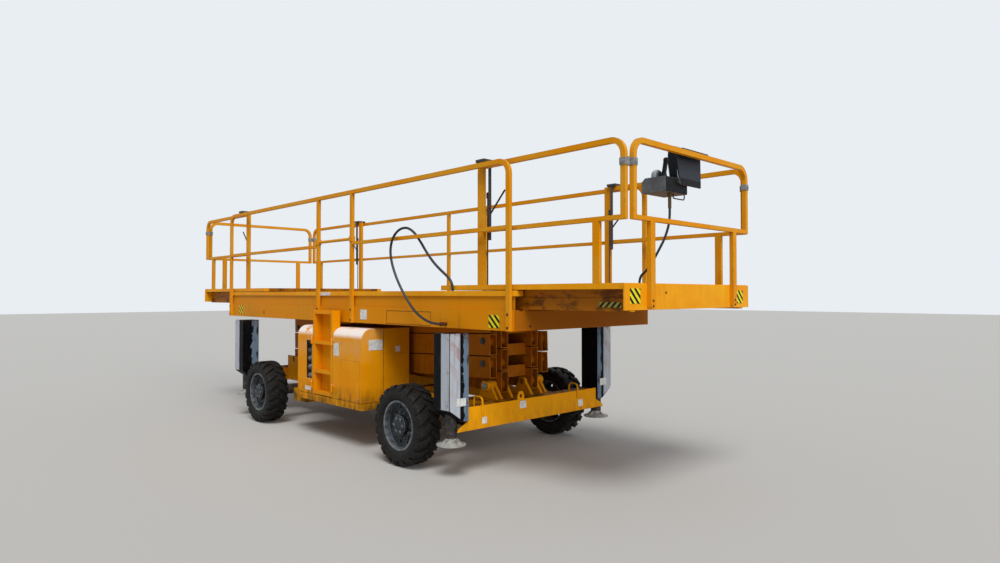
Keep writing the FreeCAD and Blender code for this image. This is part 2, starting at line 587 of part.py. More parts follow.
def inner_arms(level):
    """A pair of inner arms with cross tubes between them and a bushing at each pin."""
    parts, bores = [], []
    arm = arm_box(level, -1, INNER_Y0, INNER_Y1)
    pins = arm_pins(level, -1)
    for x, z in pins:
        arm = arm.fuse(rod((x, INNER_Y0, z), (x, INNER_Y1, z), BOSS_D))
        bores.append(rod((x, INNER_Y0 - 1, z), (x, INNER_Y1 + 1, z), PIN_D + 2 * BORE_GAP))
    if level == 0:
        x, z = pins[0]
        arm = arm.fuse(rod((x, 124, z), (x, 307, z), PIN_D))
        bores = bores[1:]
    if level == LEVELS - 1:
        x, z = pins[-1]
        arm = arm.fuse([rod((x, 92, z), (x, INNER_Y0, z), 50), rod((x, 100, z), (x, 155, z), ROLLER_D)])
        bores = bores[:-1]
    arm = arm.cut(bores)
    parts += [arm, mirror(arm, "y")]
    for x in CROSS_TUBE_X[level]:
        z = axis_z(level, -1, x)
        parts.append(box(x - CROSS_TUBE_W / 2, x + CROSS_TUBE_W / 2, -INNER_Y0 - 1, INNER_Y0 + 1,
                         z - CROSS_TUBE_H / 2, z + CROSS_TUBE_H / 2))
    low, narrow = pins[0][1] + END_TUBE_RISE, INNER_Y0 - END_TUBE_GAP
    parts += [box(END_TUBE_X0, END_TUBE_X1, -INNER_Y0 - 1, INNER_Y0 + 1, low, low + END_TUBE_SEAT_H),
              box(END_TUBE_X0, END_TUBE_X1, -narrow, narrow, low, low + END_TUBE_H)]
    low_eye, high_eye = cylinder_eyes()
    near, far = EYE_W / 2 + 1, EYE_W / 2 + 17
    if level == 0:
        x, z = low_eye
        tube_x = CROSS_TUBE_X[0][0] - CROSS_TUBE_W / 2 + 5
        for side in (-1, 1):
            parts.append(rod((x, side * near, z), (x, side * far, z), EYE_D))
            parts.append(box(x, tube_x, side * near, side * far, z - EYE_D / 2, z + EYE_D / 2))
        parts.append(rod((x, -far, z), (x, far, z), EYE_PIN_D))
    if level == 1:
        x, z = high_eye
        for side in (-1, 1):
            parts.append(rod((x, side * (near + 4), z), (x, side * (INNER_Y0 + 1), z), EYE_D))
    save(f"inner_arms_{level + 1}", fuse(parts))


def axis_z(level, rises_to, x):
    """Height of an arm's middle line at x, at rest."""
    low_z = pin_z(level) + PIN_OFFSET
    high_z = pin_z(level + 1) - PIN_OFFSET
    return (low_z + high_z) / 2 + rises_to * x * (high_z - low_z) / (2 * PIN_X)


def outer_arms(level):
    """A pair of outer arms, with the pins that run inwards through the inner arms."""
    arm = arm_box(level, 1, OUTER_Y0, OUTER_Y1)
    pins = arm_pins(level, 1)
    parts = [arm]
    for number, (x, z) in enumerate(pins):
        inward = not (level == 0 and number == 0) and not (level == LEVELS - 1 and number == 2)
        if inward:
            parts += [rod((x, INNER_Y0 - 12, z), (x, OUTER_Y1 + 8, z), PIN_D)]
            parts += [rod((x, INNER_Y1 + 5, z), (x, OUTER_Y0, z), 84)]
        parts.append(rod((x, OUTER_Y0, z), (x, OUTER_Y1, z), BOSS_D))
    if level == 0:
        x, z = pins[0]
        parts += [rod((x, OUTER_Y1, z), (x, 488, z), 50), rod((x, 430, z), (x, 485, z), ROLLER_D)]
    if level == LEVELS - 1:
        x, z = pins[-1]
        parts.append(rod((x, OUTER_Y1, z), (x, SPINE_Y0 + 6, z), PIN_D))
    arm = fuse(parts)
    save(f"outer_arms_{level + 1}", Part.Compound([arm, mirror(arm, "y")]))


def cylinder_eyes():
    """The lift cylinder's eye centres: below on the first inner arms, above on the second."""
    low = (BARREL_EYE_X, axis_z(0, -1, BARREL_EYE_X) + 30)
    high = (ROD_EYE_X, axis_z(1, -1, ROD_EYE_X))
    return low, high


def lift_cylinder():
    """The long lift cylinder between the inner arms."""
    (x0, z0), (x1, z1) = cylinder_eyes()
    length = math.hypot(x1 - x0, z1 - z0)
    ux, uz = (x1 - x0) / length, (z1 - z0) / length

    def at(share):
        return (x0 + ux * length * share, 0, z0 + uz * length * share)

    eye = rod((x0, -EYE_W / 2, z0), (x0, EYE_W / 2, z0), EYE_D)
    eye_bore = rod((x0, -EYE_W, z0), (x0, EYE_W, z0), EYE_PIN_D + 2 * BORE_GAP)
    neck = EYE_D * 0.7 / length
    barrel = fuse([eye, rod(at(0.01), at(neck), EYE_W * 0.8), rod(at(neck), at(0.95), BARREL_D)])
    bore = rod(at(0.04), at(1.0), ROD_D + 2 * BORE_GAP)
    save("cylinder_barrel", barrel.cut([eye_bore, bore]))
    top_eye = rod((x1, -EYE_W / 2, z1), (x1, EYE_W / 2, z1), EYE_D)
    top_bore = rod((x1, -EYE_W, z1), (x1, EYE_W, z1), EYE_PIN_D + 2 * BORE_GAP)
    piston = fuse([top_eye, rod(at(0.06), at(0.99), ROD_D)])
    save("cylinder_rod", piston.cut(top_bore))


def tube(x0, x1, y0, y1, z0, z1, wall):
    """A rectangular tube along X, open at both ends."""
    hollow = box(x0, x1, y0 + wall, y1 - wall, z0 + wall, z1 - wall)
    return box(x0, x1, y0, y1, z0, z1).cut(hollow)


def joist_places():
    """Where the cross joists stand, evenly spaced along the main deck."""
    reach = MAIN_X - JOIST_INSET
    return [-reach + step * 2 * reach / (JOIST_COUNT - 1) for step in range(JOIST_COUNT)]


def platform():
    """The main deck's frame: side channels with end plates, spines, joists and roller tracks."""
    parts = []
    for side in (-1, 1):
        parts += [box(-MAIN_X, MAIN_X, side * (MAIN_Y - WEB_T), side * MAIN_Y, FRAME_Z0, SIDE_Z1),
                  box(-MAIN_X, MAIN_X, side * (MAIN_Y - FLANGE_W), side * MAIN_Y, FRAME_Z0, FRAME_Z0 + WEB_T),
                  box(-MAIN_X, MAIN_X, side * (MAIN_Y - FLANGE_W), side * MAIN_Y, SIDE_Z1 - WEB_T, SIDE_Z1),
                  box(-MAIN_X + SHEET, MAIN_X - SHEET, side * (MAIN_Y - RECESS), side * (MAIN_Y - RECESS + SKIN),
                      SIDE_Z1, FLOOR_Z - SHEET)]
        for end in (-1, 1):
            parts.append(box(end * (MAIN_X - WEB_T), end * MAIN_X, side * RUNNER_Y0, side * RUNNER_Y1,
                             END_Z1, RUNNER_Z0 - SEAT))
    for end in (-1, 1):
        parts.append(box(end * (MAIN_X - WEB_T), end * MAIN_X, -MAIN_Y + WEB_T, MAIN_Y - WEB_T,
                         FRAME_Z0, END_Z1))
    slot = upright_slot(BEAM_SLOT_X, -MAIN_Y - 1, -MAIN_Y + WEB_T + 1, BEAM_SLOT_Z, BEAM_SLOT_W, BEAM_SLOT_RISE)
    save("platform_frame", fuse(parts).cut(slot))

    pin = pin_z(LEVELS)
    spine = tube(-MAIN_X + WEB_T, MAIN_X - WEB_T, SPINE_Y0, SPINE_Y1, FRAME_Z0, JOIST_Z0, SPINE_WALL)
    bracket = prism([(PIN_X - BRACKET_W, JOIST_Z0), (PIN_X - BRACKET_W, pin), (PIN_X - 40, pin - BRACKET_DROP),
                     (PIN_X + 40, pin - BRACKET_DROP), (PIN_X + BRACKET_W, pin), (PIN_X + BRACKET_W, JOIST_Z0)],
                    OUTER_Y1 + 12, SPINE_Y0)
    ribs = [box(x - JOIST_W / 2, x + JOIST_W / 2, SPINE_Y1, MAIN_Y - WEB_T, SIDE_Z1 - WEB_T - RIB_H,
                SIDE_Z1 - WEB_T) for x in joist_places()[::2]]
    hole = rod((PIN_X, OUTER_Y1, pin), (PIN_X, SPINE_Y0 + SPINE_WALL, pin), PIN_D + 2 * BORE_GAP)
    spine = fuse([spine, bracket] + ribs).cut(hole)
    save("platform_spines", Part.Compound([spine, mirror(spine, "y")]))

    joist = box(-JOIST_W / 2, JOIST_W / 2, -SPINE_Y1, SPINE_Y1, JOIST_Z0, FLOOR_Z - SHEET)
    joist = joist.cut(box(-JOIST_W / 2 + SKIN, JOIST_W / 2, -SPINE_Y1, SPINE_Y1,
                          JOIST_Z0 + SKIN, FLOOR_Z - SHEET - SKIN))
    save("platform_joists", Part.Compound([joist.translated(V(x, 0, 0)) for x in joist_places()]))

    track_z = pin + ROLLER_D / 2 + ROLLER_GAP
    track = tube(TRACK_X0, TRACK_X1, TOP_TRACK_Y0, TOP_TRACK_Y1, track_z, JOIST_Z0, ARM_WALL)
    save("platform_tracks", Part.Compound([track, mirror(track, "y")]))

    x, y, z = HOSE_POINTS[0]
    outlet = [rod((x + OUTLET_D / 2, -MAIN_Y, z), (x + OUTLET_D / 2, y, z), OUTLET_D),
              rod((x, y, z), (x + OUTLET_D + 4, y, z), OUTLET_D + 4)]
    save("hose_outlet", fuse(outlet))


def platform_floor():
    """The main deck's sheet floor: turned-down edge, slots for the decks' webs, the hose's hole."""
    sheet = box(-MAIN_X, MAIN_X, -MAIN_Y, MAIN_Y, LIP_Z0, FLOOR_Z)
    sheet = sheet.cut(box(-MAIN_X + SHEET, MAIN_X - SHEET, -MAIN_Y + SHEET, MAIN_Y - SHEET,
                          LIP_Z0, FLOOR_Z - SHEET))
    cuts = []
    for end in (-1, 1):
        for side in (-1, 1):
            cuts.append(box(end * (MAIN_X - DECK_STROKE - SLOT_GAP), end * MAIN_X,
                            side * (WEB_Y0 - SLOT_GAP), side * (WEB_Y1 + SLOT_GAP), LIP_Z0, FLOOR_Z))
            cuts.append(box(end * (MAIN_X - SHEET), end * MAIN_X,
                            side * (RUNNER_Y0 - SLOT_GAP), side * (RUNNER_Y1 + SLOT_GAP), LIP_Z0, FLOOR_Z))
    x, y, _ = HOSE_POINTS[-1]
    cuts.append(rod((x, y, LIP_Z0), (x, y, FLOOR_Z + 1), HOSE_D + 2))
    save("platform_floor", sheet.cut(cuts))


def post(x, y, z0, z1, width=RAIL_H, depth=RAIL_W):
    """One upright of rectangular tube."""
    return box(x - width / 2, x + width / 2, y - depth / 2, y + depth / 2, z0, z1)


def main_rails():
    """The guard rails bolted outside the main deck, and the bar across the entry."""
    y = MAIN_Y + RAIL_W / 2
    centre = TOP_Z - RAIL_H / 2
    mid = MID_Z - RAIL_H / 2
    loop = bar([(-POST_END, y, FRAME_Z0), (-POST_END, y, centre), (POST_END, y, centre),
                (POST_END, y, FRAME_Z0)], BEND_R, (0, 1, 0), RAIL_W, RAIL_H)
    for side_name, side in SIDES:
        save("main_rail_" + side_name, place(loop, side))
    inner_end = POST_END - RAIL_H / 2
    frames = []
    for x0, x1, x in ((-inner_end, POST_BACK, POST_BACK), (POST_FRONT, inner_end, POST_FRONT)):
        frames.append(fuse([post(x, y, FRAME_Z0, TOP_Z - RAIL_H),
                            box(x0, x1, y - RAIL_W / 2, y + RAIL_W / 2, mid - RAIL_W / 2, mid + RAIL_W / 2)]))
    closing = box(POST_BACK, POST_FRONT, y - RAIL_W / 2, y + RAIL_W / 2, mid - RAIL_W / 2, mid + RAIL_W / 2)
    save("mid_rails", Part.Compound([mirror(frame, "y") for frame in frames] + [fuse(frames + [closing])]))
    collar_z0 = mid + RAIL_W / 2 + SEAT
    collar_z1 = collar_z0 + COLLAR_H
    entry, posts = [], []
    for x in (POST_BACK, POST_FRONT):
        entry.append(post(x, -y, collar_z0, collar_z1, RAIL_H + 2 * COLLAR_T, RAIL_W + 2 * COLLAR_T))
        posts.append(post(x, -y, collar_z0, collar_z1, RAIL_H + 2 * BORE_GAP, RAIL_W + 2 * BORE_GAP))
    middle_z = (collar_z0 + collar_z1) / 2
    entry.append(rod((POST_BACK, -y, middle_z), (POST_FRONT, -y, middle_z), 34))
    save("entry_bar", fuse(entry).cut(posts))


def deck_frame():
    """The front sliding deck: floor tray, webs, runners and end plate."""
    tray = box(DECK_X0, DECK_X1, -DECK_Y, DECK_Y, DECK_BOTTOM, DECK_TOP)
    tray = tray.cut(box(DECK_X0 + SHEET, DECK_X1, -DECK_Y + SHEET, DECK_Y - SHEET,
                        DECK_BOTTOM, DECK_TOP - SHEET))
    parts = [tray]
    for side in (-1, 1):
        parts.append(box(DECK_X0 + 20, DECK_X1, side * RUNNER_Y0, side * RUNNER_Y1, RUNNER_Z0, RUNNER_Z1))
        parts.append(box(MAIN_X + 8, DECK_X1, side * WEB_Y0, side * WEB_Y1, RUNNER_Z1 - 1, DECK_TOP - 4))
    for number in range(DECK_RIBS):
        x = DECK_RIB_X0 + number * DECK_RIB_PITCH
        parts.append(box(x - DECK_RIB_W / 2, x + DECK_RIB_W / 2, -WEB_Y0 - 5, WEB_Y0 + 5,
                         DECK_BOTTOM, DECK_TOP - 4))
    parts.append(box(DECK_X1, DECK_X1 + PLATE, -APRON_Y, APRON_Y, APRON_Z0, APRON_Z1))
    return fuse(parts)


def deck_rails():
    """The front deck's guard rails: two side frames, and the end frame."""
    centre = TOP_Z + DECK_RAIL_LIFT - RAIL_H / 2
    mid, half = MID_Z - RAIL_H / 2, RAIL_W / 2
    sides = []
    for side in (-1, 1):
        y = side * DECK_RAIL_Y
        sides.append(fuse([
            bar([(REAR_POST_X - REAR_POST_W / 2, y, centre), (FRONT_RAIL_X, y, centre),
                 (FRONT_RAIL_X, y, mid - half)], BEND_R, (0, 1, 0), RAIL_W, RAIL_H),
            box(REAR_POST_X, FRONT_RAIL_X, y - half, y + half, mid - half, mid + half),
            post(REAR_POST_X, y, DECK_TOP, centre, REAR_POST_W),
            post(FRONT_POST_X, y, DECK_TOP, mid, FRONT_POST_W)]))
    x, end = END_RAIL_X, END_RAIL_Y
    parts = [bar([(x, -end, mid), (x, -end, centre), (x, end, centre), (x, end, mid)],
                 BEND_R, (1, 0, 0), RAIL_W, RAIL_H),
             box(x - half, x + half, -end - RAIL_H / 2, end + RAIL_H / 2, mid - half, mid + half)]
    for side in (-1, 1):
        parts.append(box(x - half, x + half, side * END_POST_Y, side * (END_POST_Y + FRONT_POST_W),
                         APRON_Z0 + 20, mid))
    return sides, fuse(parts)


def deck_latches(rails):
    """Clamps that tie the end rail to the side rails, and the struts that lock the deck."""
    half, low, high = RAIL_W / 2, CLAMP_Z - CLAMP_H / 2, CLAMP_Z + CLAMP_H / 2
    side_x, side_y = FRONT_RAIL_X, DECK_RAIL_Y
    bolt_x, bolt_y = (side_x + END_RAIL_X) / 2 + 6, side_y - half - 3
    strut_y = side_y - half - STRUT_D / 2 - SEAT
    top = TOP_Z + DECK_RAIL_LIFT
    clamp = fuse([box(side_x - RAIL_H / 2 - CLAMP_T, side_x + RAIL_H / 2 + CLAMP_T, side_y - half - CLAMP_T,
                      side_y + half + CLAMP_T, low, high),
                  box(END_RAIL_X - half - CLAMP_T, END_RAIL_X + half + CLAMP_T, END_RAIL_Y - RAIL_H / 2 - CLAMP_T,
                      END_RAIL_Y + RAIL_H / 2 + CLAMP_T, low, high),
                  rod((bolt_x, bolt_y, low - 8), (bolt_x, bolt_y, high + 8), CLAMP_BOLT_D)])
    strut = fuse([box(BLOCK_X0, BLOCK_X1, strut_y - STRUT_D / 2, MAIN_Y + RAIL_W, top, top + BLOCK_H),
                  rod((STRUT_X, strut_y, STRUT_Z), (STRUT_X, strut_y, top + 1), STRUT_D),
                  rod((STRUT_X, strut_y, LEVER_Z0), (STRUT_X + LEVER_REACH, strut_y, LEVER_Z1), LEVER_D),
                  rod((PULL_X, strut_y, DECK_TOP + SEAT), (PULL_X, strut_y, PULL_Z), PULL_D),
                  box(PULL_X - PULL_D, STRUT_X, strut_y - PULL_D / 2, strut_y + PULL_D / 2,
                      PULL_Z - CLAMP_H, PULL_Z)])
    pieces = [clamp.cut(rails), strut]
    return Part.Compound(pieces + [mirror(piece, "y") for piece in pieces])


def decks():
    """Both sliding decks; the rear one is the front one turned end for end."""
    frame = deck_frame()
    side_rails, end_rail = deck_rails()
    latches = deck_latches(side_rails + [end_rail])
    for end_name, end in ENDS:
        save(end_name + "_deck", place(frame, 1, end))
        save(end_name + "_deck_rails", place(Part.Compound(side_rails), 1, end))
        save(end_name + "_end_rail", place(end_rail, 1, end))
        save(end_name + "_deck_latch", place(latches, 1, end))


def modules():
    """The engine and hydraulics housings at the sides, their trays, doors and contents."""
    tray = box(MODULE_X0, MODULE_X1, MODULE_Y0, MODULE_Y1, TRAY_Z0, TRAY_Z1)
    tray = tray.cut(box(MODULE_X0 + SKIN, MODULE_X1 - SKIN, MODULE_Y0 + SKIN, MODULE_Y1 - SKIN,
                        TRAY_Z0 + SKIN, TRAY_Z1))
    rear_box = box(REAR_BOX_X, MODULE_X0 + 1, REAR_BOX_Y0, REAR_BOX_Y1, REAR_BOX_Z0, REAR_BOX_Z1)
    rear_box = rear_box.cut(box(REAR_BOX_X + SKIN, MODULE_X0, REAR_BOX_Y0 + SKIN, REAR_BOX_Y1 - SKIN,
                                REAR_BOX_Z0 + SKIN, REAR_BOX_Z1 - SKIN))
    save("module_trays", Part.Compound([fuse([place(tray, -1), place(rear_box, -1)]), tray]))
    cases = []
    for side_name, side in SIDES:
        pillar_y = PILLAR_Y if side < 0 else MODULE_Y1
        case = box(MODULE_X0, MODULE_X1, MODULE_Y0, MODULE_YM, TRAY_Z1, MODULE_Z1)
        case = case.cut(box(MODULE_X0 + SKIN, MODULE_X1 - SKIN, MODULE_Y0 + SKIN, MODULE_YM,
                            TRAY_Z1, MODULE_Z1 - SKIN))
        pillar = box(PILLAR_X0, PILLAR_X1, MODULE_YM - 100, pillar_y, TRAY_Z1, MODULE_Z1)
        pillar = pillar.cut(box(PILLAR_X0 + SKIN, PILLAR_X1 - SKIN, MODULE_YM - 100, pillar_y - SKIN,
                                TRAY_Z1, MODULE_Z1 - SKIN))
        seam = box(MODULE_X1 - SEAM_DEPTH, MODULE_X1 + 1, MODULE_Y0, MODULE_YM,
                   CASE_SEAM_Z, CASE_SEAM_Z + SEAM)
        pieces = [case.cut(seam), pillar]
        if side < 0:
            for x0, x1 in ((PILLAR_X0, LADDER_X0), (LADDER_X1, PILLAR_X1)):
                pieces.append(box(x0, x1, PILLAR_Y - SKIN, MODULE_Y1, TRAY_Z1, MODULE_Z1))
        for _, end in ENDS:
            pieces += hinge_leaves(end, fixed=True)
        cases.append(place(fuse(pieces), side))
        for end_name, end in ENDS:
            save(f"hood_{end_name}_{side_name}", place(hood(end, side), side))
    save("module_cases", Part.Compound(cases))
    save("engine_block", engine())
    save("oil_tank", oil_tank())
    save("valve_block", valve_block())


def engine():
    """The diesel engine in the left housing, crankshaft along the machine."""
    floor = TRAY_Z0 + SKIN
    middle = (MODULE_Y0 + MODULE_Y1) / 2 - 70
    parts = [box(310, 690, middle - 110, middle + 110, floor + 40, 580),
             box(280, 710, middle - 150, middle + 150, 580, 820),
             box(300, 690, middle - 110, middle + 110, 820, 950),
             box(330, 660, middle - 70, middle + 70, 950, 1000),
             rod((690, middle, 700), (745, middle, 700), 360),
             rod((245, middle, 650), (281, middle, 650), 150),
             rod((245, middle + 90, 860), (310, middle + 90, 860), 90),
             rod((330, middle - 10, 1090), (660, middle - 10, 1090), 130),
             rod((560, middle - 10, 990), (560, middle - 10, 1090), 60),
             rod((420, middle + 190, 600), (420, middle + 190, 740), 90),
             box(400, 440, middle + 140, middle + 180, 690, 730)]
    for x in (330, 640):
        for side in (-1, 1):
            parts.append(box(x, x + 40, middle + side * 140, middle + side * 190, floor, 640))
    return fuse(parts)


def oil_tank():
    """The hydraulic oil tank in the right housing, with its filler and return filter."""
    tank = box(260, 740, -MODULE_YM - 150, -MODULE_Y0 - 40, TRAY_Z0 + SKIN, 1000)
    tank = tank.makeFillet(30, [edge for edge in tank.Edges if edge.BoundBox.ZLength > 500])
    caps = [rod((340, -MODULE_YM - 60, 999), (340, -MODULE_YM - 60, 1045), 84),
            rod((560, -MODULE_YM - 20, 999), (560, -MODULE_YM - 20, 1012), 170),
            rod((560, -MODULE_YM - 20, 1010), (560, -MODULE_YM - 20, 1090), 120)]
    return fuse([tank] + caps)


def valve_block():
    """The valve stack behind the rear hood's opening: a stand, a manifold and two rows of coils."""
    floor = TRAY_Z0 + SKIN
    parts = [box(-490, -470, -1030, -930, floor, 1150), box(-260, -240, -1030, -930, floor, 1150),
             box(-471, -259, -1010, -950, 600, 1140)]
    for x in (-420, -310):
        for z in (680, 780, 880, 980, 1080):
            parts += [rod((x, -1009, z), (x, -1050, z), 62), rod((x, -1049, z), (x, -1062, z), 26)]
    return fuse(parts)


def hinge_line(end):
    """Where a door's hinge axis stands, drawn on the left side, as x and y."""
    edge = PILLAR_X1 if end > 0 else PILLAR_X0
    return edge + end * DOOR_GAP / 2, MODULE_Y1 + HINGE_D / 2


def hinge_leaves(end, fixed):
    """Two hinges on a door's upright edge: pins on the frame, or barrels on the door."""
    x, y = hinge_line(end)
    way = -end if fixed else end
    shapes, bores = [], []
    for z in HINGE_Z:
        low = z if fixed else z + HINGE_H / 2 + SEAT
        high = low + HINGE_H / 2
        shapes.append(rod((x, y, low), (x, y, high), HINGE_D))
        leaf_end = x + way * (9 if fixed else 45)
        shapes.append(box(x, leaf_end, MODULE_Y1, MODULE_Y1 + 5, low, high))
        if fixed:
            shapes.append(rod((x, y, low), (x, y, z + HINGE_H), HINGE_PIN_D))
        else:
            bores.append(rod((x, y, low), (x, y, high + 1), HINGE_PIN_D + 2 * BORE_GAP))
    return shapes if fixed else [fuse([shape]).cut(bores) for shape in shapes]


def hood(end, side):
    """One hood door drawn on the left side: outer wall, rounded top edge and far end wall."""
    near = PILLAR_X1 + DOOR_GAP if end > 0 else PILLAR_X0 - DOOR_GAP
    far = MODULE_X1 if end > 0 else MODULE_X0
    y0 = MODULE_YM + DOOR_GAP

    def section(inset):
        edge_y, top = MODULE_Y1 - inset, MODULE_Z1 - inset
        radius = HOOD_R - inset
        corner = [V(0, edge_y, top - radius), V(0, edge_y - radius, top)]
        arc_mid = V(0, edge_y - radius + radius * math.cos(math.pi / 4),
                    top - radius + radius * math.sin(math.pi / 4))
        start = V(0, edge_y, TRAY_Z1 + 5)
        edges = [Part.LineSegment(start, corner[0]).toShape(),
                 Part.Arc(corner[0], arc_mid, corner[1]).toShape(),
                 Part.LineSegment(corner[1], V(0, y0, top)).toShape(),
                 Part.LineSegment(V(0, y0, top), V(0, y0, TRAY_Z1 + 5)).toShape(),
                 Part.LineSegment(V(0, y0, TRAY_Z1 + 5), start).toShape()]
        return Part.Face(Part.Wire(edges))

    x0, x1 = min(near, far), max(near, far)
    outer = section(0)
    outer.translate(V(x0, 0, 0))
    shape = outer.extrude(V(x1 - x0, 0, 0))
    hollow = section(SKIN)
    hollow.translate(V(x0 + (SKIN if end < 0 else -1), 0, 0))
    shape = shape.cut(hollow.extrude(V(x1 - x0 - SKIN + 1, 0, 0)))
    if side < 0 and end < 0:
        shape = shape.cut(box(APERTURE_X0, APERTURE_X1, MODULE_Y1 - 2 * SKIN, MODULE_Y1 + 1,
                              APERTURE_Z0, APERTURE_Z1))
    if side < 0 and end > 0:
        seam = box(PANEL_X0, PANEL_X1, MODULE_Y1 - SEAM_DEPTH, MODULE_Y1 + 1, PANEL_Z0, PANEL_Z1)
        shape = shape.cut(seam.cut(box(PANEL_X0 + SEAM, PANEL_X1 - SEAM, MODULE_Y1 - SKIN, MODULE_Y1 + 1,
                                       PANEL_Z0 + SEAM, PANEL_Z1 - SEAM)))
    return fuse([shape] + hinge_leaves(end, fixed=False))


def ladder():
    """The fixed ladder: two deep box stiles, four shelf treads and a back sheet."""
    parts = []
    for x0, x1 in ((LADDER_X0, LADDER_X0 + STILE_W), (LADDER_X1 - STILE_W, LADDER_X1)):
        parts.append(box(x0, x1, -LADDER_Y1, -LADDER_Y0, LADDER_Z0, LADDER_Z1))
    inner_x0, inner_x1 = LADDER_X0 + STILE_W / 2, LADDER_X1 - STILE_W / 2
    for z in TREAD_Z:
        parts.append(box(inner_x0, inner_x1, -LADDER_Y1, -LADDER_Y0, z - TREAD_T, z))
    parts.append(box(inner_x0, inner_x1, -LADDER_Y0 - LADDER_BACK, -LADDER_Y0, LADDER_Z0, LADDER_Z1))
    for z in TREAD_Z[:-1]:
        parts.append(box(inner_x0, inner_x1, -LADDER_Y0 - 1, -PILLAR_Y, z - TREAD_T, z))
    save("ladder", fuse(parts))


def control_box():
    """The operator's box hung under the end rail: case with a domed cap, lever, leaning screen and bail."""
    top = TOP_Z + DECK_RAIL_LIFT
    face = DECK_X1 + PLATE
    x1 = face - CONTROL_GAP
    x0, z1 = x1 - CONTROL_X, top - CONTROL_DROP
    z0 = z1 - CONTROL_H
    y0, y1 = CONTROL_Y - CONTROL_W / 2, CONTROL_Y + CONTROL_W / 2
    case = prism([(x0, z0), (x1, z0), (x1, z1), (x0 + 30, z1), (x0, z1 - 30)], y0, y1)
    case = case.makeFillet(CONTROL_FILLET, [edge for edge in case.Edges if edge.BoundBox.YLength > 1])
    cap_x, cap_y = x0 + 100, y0 + CAP_R + 18
    cap = rod((cap_x, cap_y, z1 - 1), (cap_x, cap_y, z1 + CAP_RISE), 2 * CAP_R)
    dome = Part.makeSphere(CAP_R, V(0, 0, 0), V(0, 0, 1), 0, 90, 360)
    cap = cap.fuse(dome.translated(V(cap_x, cap_y, z1 + CAP_RISE)))
    lever_x, lever_y = x1 - 42, y0 + 40
    tip = (lever_x + 18, lever_y, z1 + 128)
    lever = [Part.makeCone(26, 15, 50, V(lever_x, lever_y, z1 - 1)),
             rod((lever_x, lever_y, z1 + 20), tip, 36),
             Part.makeSphere(21, V(*tip))]

    screen_x, screen_top = face - SCREEN_GAP, top + SCREEN_RISE
    screen_low = screen_top - SCREEN_H
    panel = prism([(SCREEN_Y0, screen_top), (SCREEN_Y1, screen_top), (SCREEN_LOW_Y1, screen_low),
                   (SCREEN_Y0, screen_low)], screen_x - SCREEN_T, screen_x, "x")
    panel = panel.rotate(V(screen_x, 0, screen_top), V(0, 1, 0), -SCREEN_LEAN)
    foot_x = screen_x + SCREEN_H * math.sin(math.radians(SCREEN_LEAN)) - SCREEN_T / 2
    cheek = prism([(screen_x - SCREEN_T / 2, screen_top - 8), (screen_x - 55, screen_top - 20),
                   (screen_x - 62, screen_top - 110), (x1 - 70, z1 - 6), (foot_x - 12, screen_low + 12)],
                  SCREEN_Y0 - SKIN, SCREEN_Y0 + 1)
    hook = box(screen_x - SCREEN_T / 2, face + RAIL_W - 4, SCREEN_Y0, SCREEN_Y1, top, top + PLATE)
    shelf = box(x1 - 60, foot_x, SCREEN_Y0, y1 - CONTROL_FILLET, z1 - CONTROL_FILLET - SKIN, z1 - CONTROL_FILLET)

    gland_x, gland_y, gland_z = CABLE_POINTS[0]
    gland = [rod((gland_x, gland_y, z0), (gland_x, gland_y, z0 - 24), 36),
             rod((gland_x, gland_y, z0 - 24), (gland_x, gland_y, gland_z), 27)]
    bail_x, low = gland_x, z0 - 35
    bail = path([(bail_x, y1 - 1, z0 + 60), (bail_x, y1 + 30, z0 + 60), (bail_x, y1 + 30, low),
                 (bail_x, CONTROL_Y + 20, low), (bail_x, CONTROL_Y + 20, z0 + 2)], [14, 20, 14])
    ring = Part.Wire([Part.Circle(V(bail_x, y1 - 1, z0 + 60), V(0, 1, 0), BAIL_D / 2).toShape()])
    bail = bail.makePipeShell([ring], True, False)
    save("control_box", fuse([case, cap, panel, cheek, hook, shelf, bail] + lever + gland))


HOSE_D = 25.0
HOSE_POINTS = [(1995, -1024, 1356), (1900, -1024, 1356), (1780, -1032, 1385), (1650, -1038, 1447),
               (1540, -1042, 1540), (1430, -1044, 1660), (1330, -1044, 1790), (1250, -1042, 1930),
               (1215, -1040, 2060), (1245, -1036, 2180), (1320, -1018, 2265), (1405, -980, 2290),
               (1490, -950, 2240), (1590, -947, 2140), (1690, -948, 2028), (1800, -948, 1925),
               (1910, -948, 1850), (2010, -948, 1790), (2080, -948, 1725), (2080, -948, FLOOR_Z - SHEET)]
CABLE_D = 20.0
CABLE_POINTS = [(3915, -255, 2306), (3915, -255, 2235), (3911, -268, 2160), (3893, -298, 2060),
                (3862, -330, 1975), (3825, -355, 1890), (3775, -378, 1810), (3720, -388, 1765),
                (3720, -388, DECK_TOP)]


def cord_tube(points, diameter):
    """A cord's solid: straight runs with arcs as large as each pair of runs allows."""
    vectors = [V(*point) for point in points]
    radii = []
    for back, here, ahead in zip(vectors, vectors[1:], vectors[2:]):
        one, two = here - back, ahead - here
        turn = one.getAngle(two)
        radii.append(0.45 * min(one.Length, two.Length) / math.tan(turn / 2))
    print("bend radii", [round(radius) for radius in radii])
    spine = path(points, radii)
    start = (vectors[1] - vectors[0]).normalize()
    ring = Part.Wire([Part.Circle(vectors[0], start, diameter / 2).toShape()])
    tube = spine.makePipeShell([ring], True, False)
    print("length", round(spine.Length), "volume share",
          round(tube.Volume / (math.pi * diameter ** 2 / 4 * spine.Length), 4))
    return tube


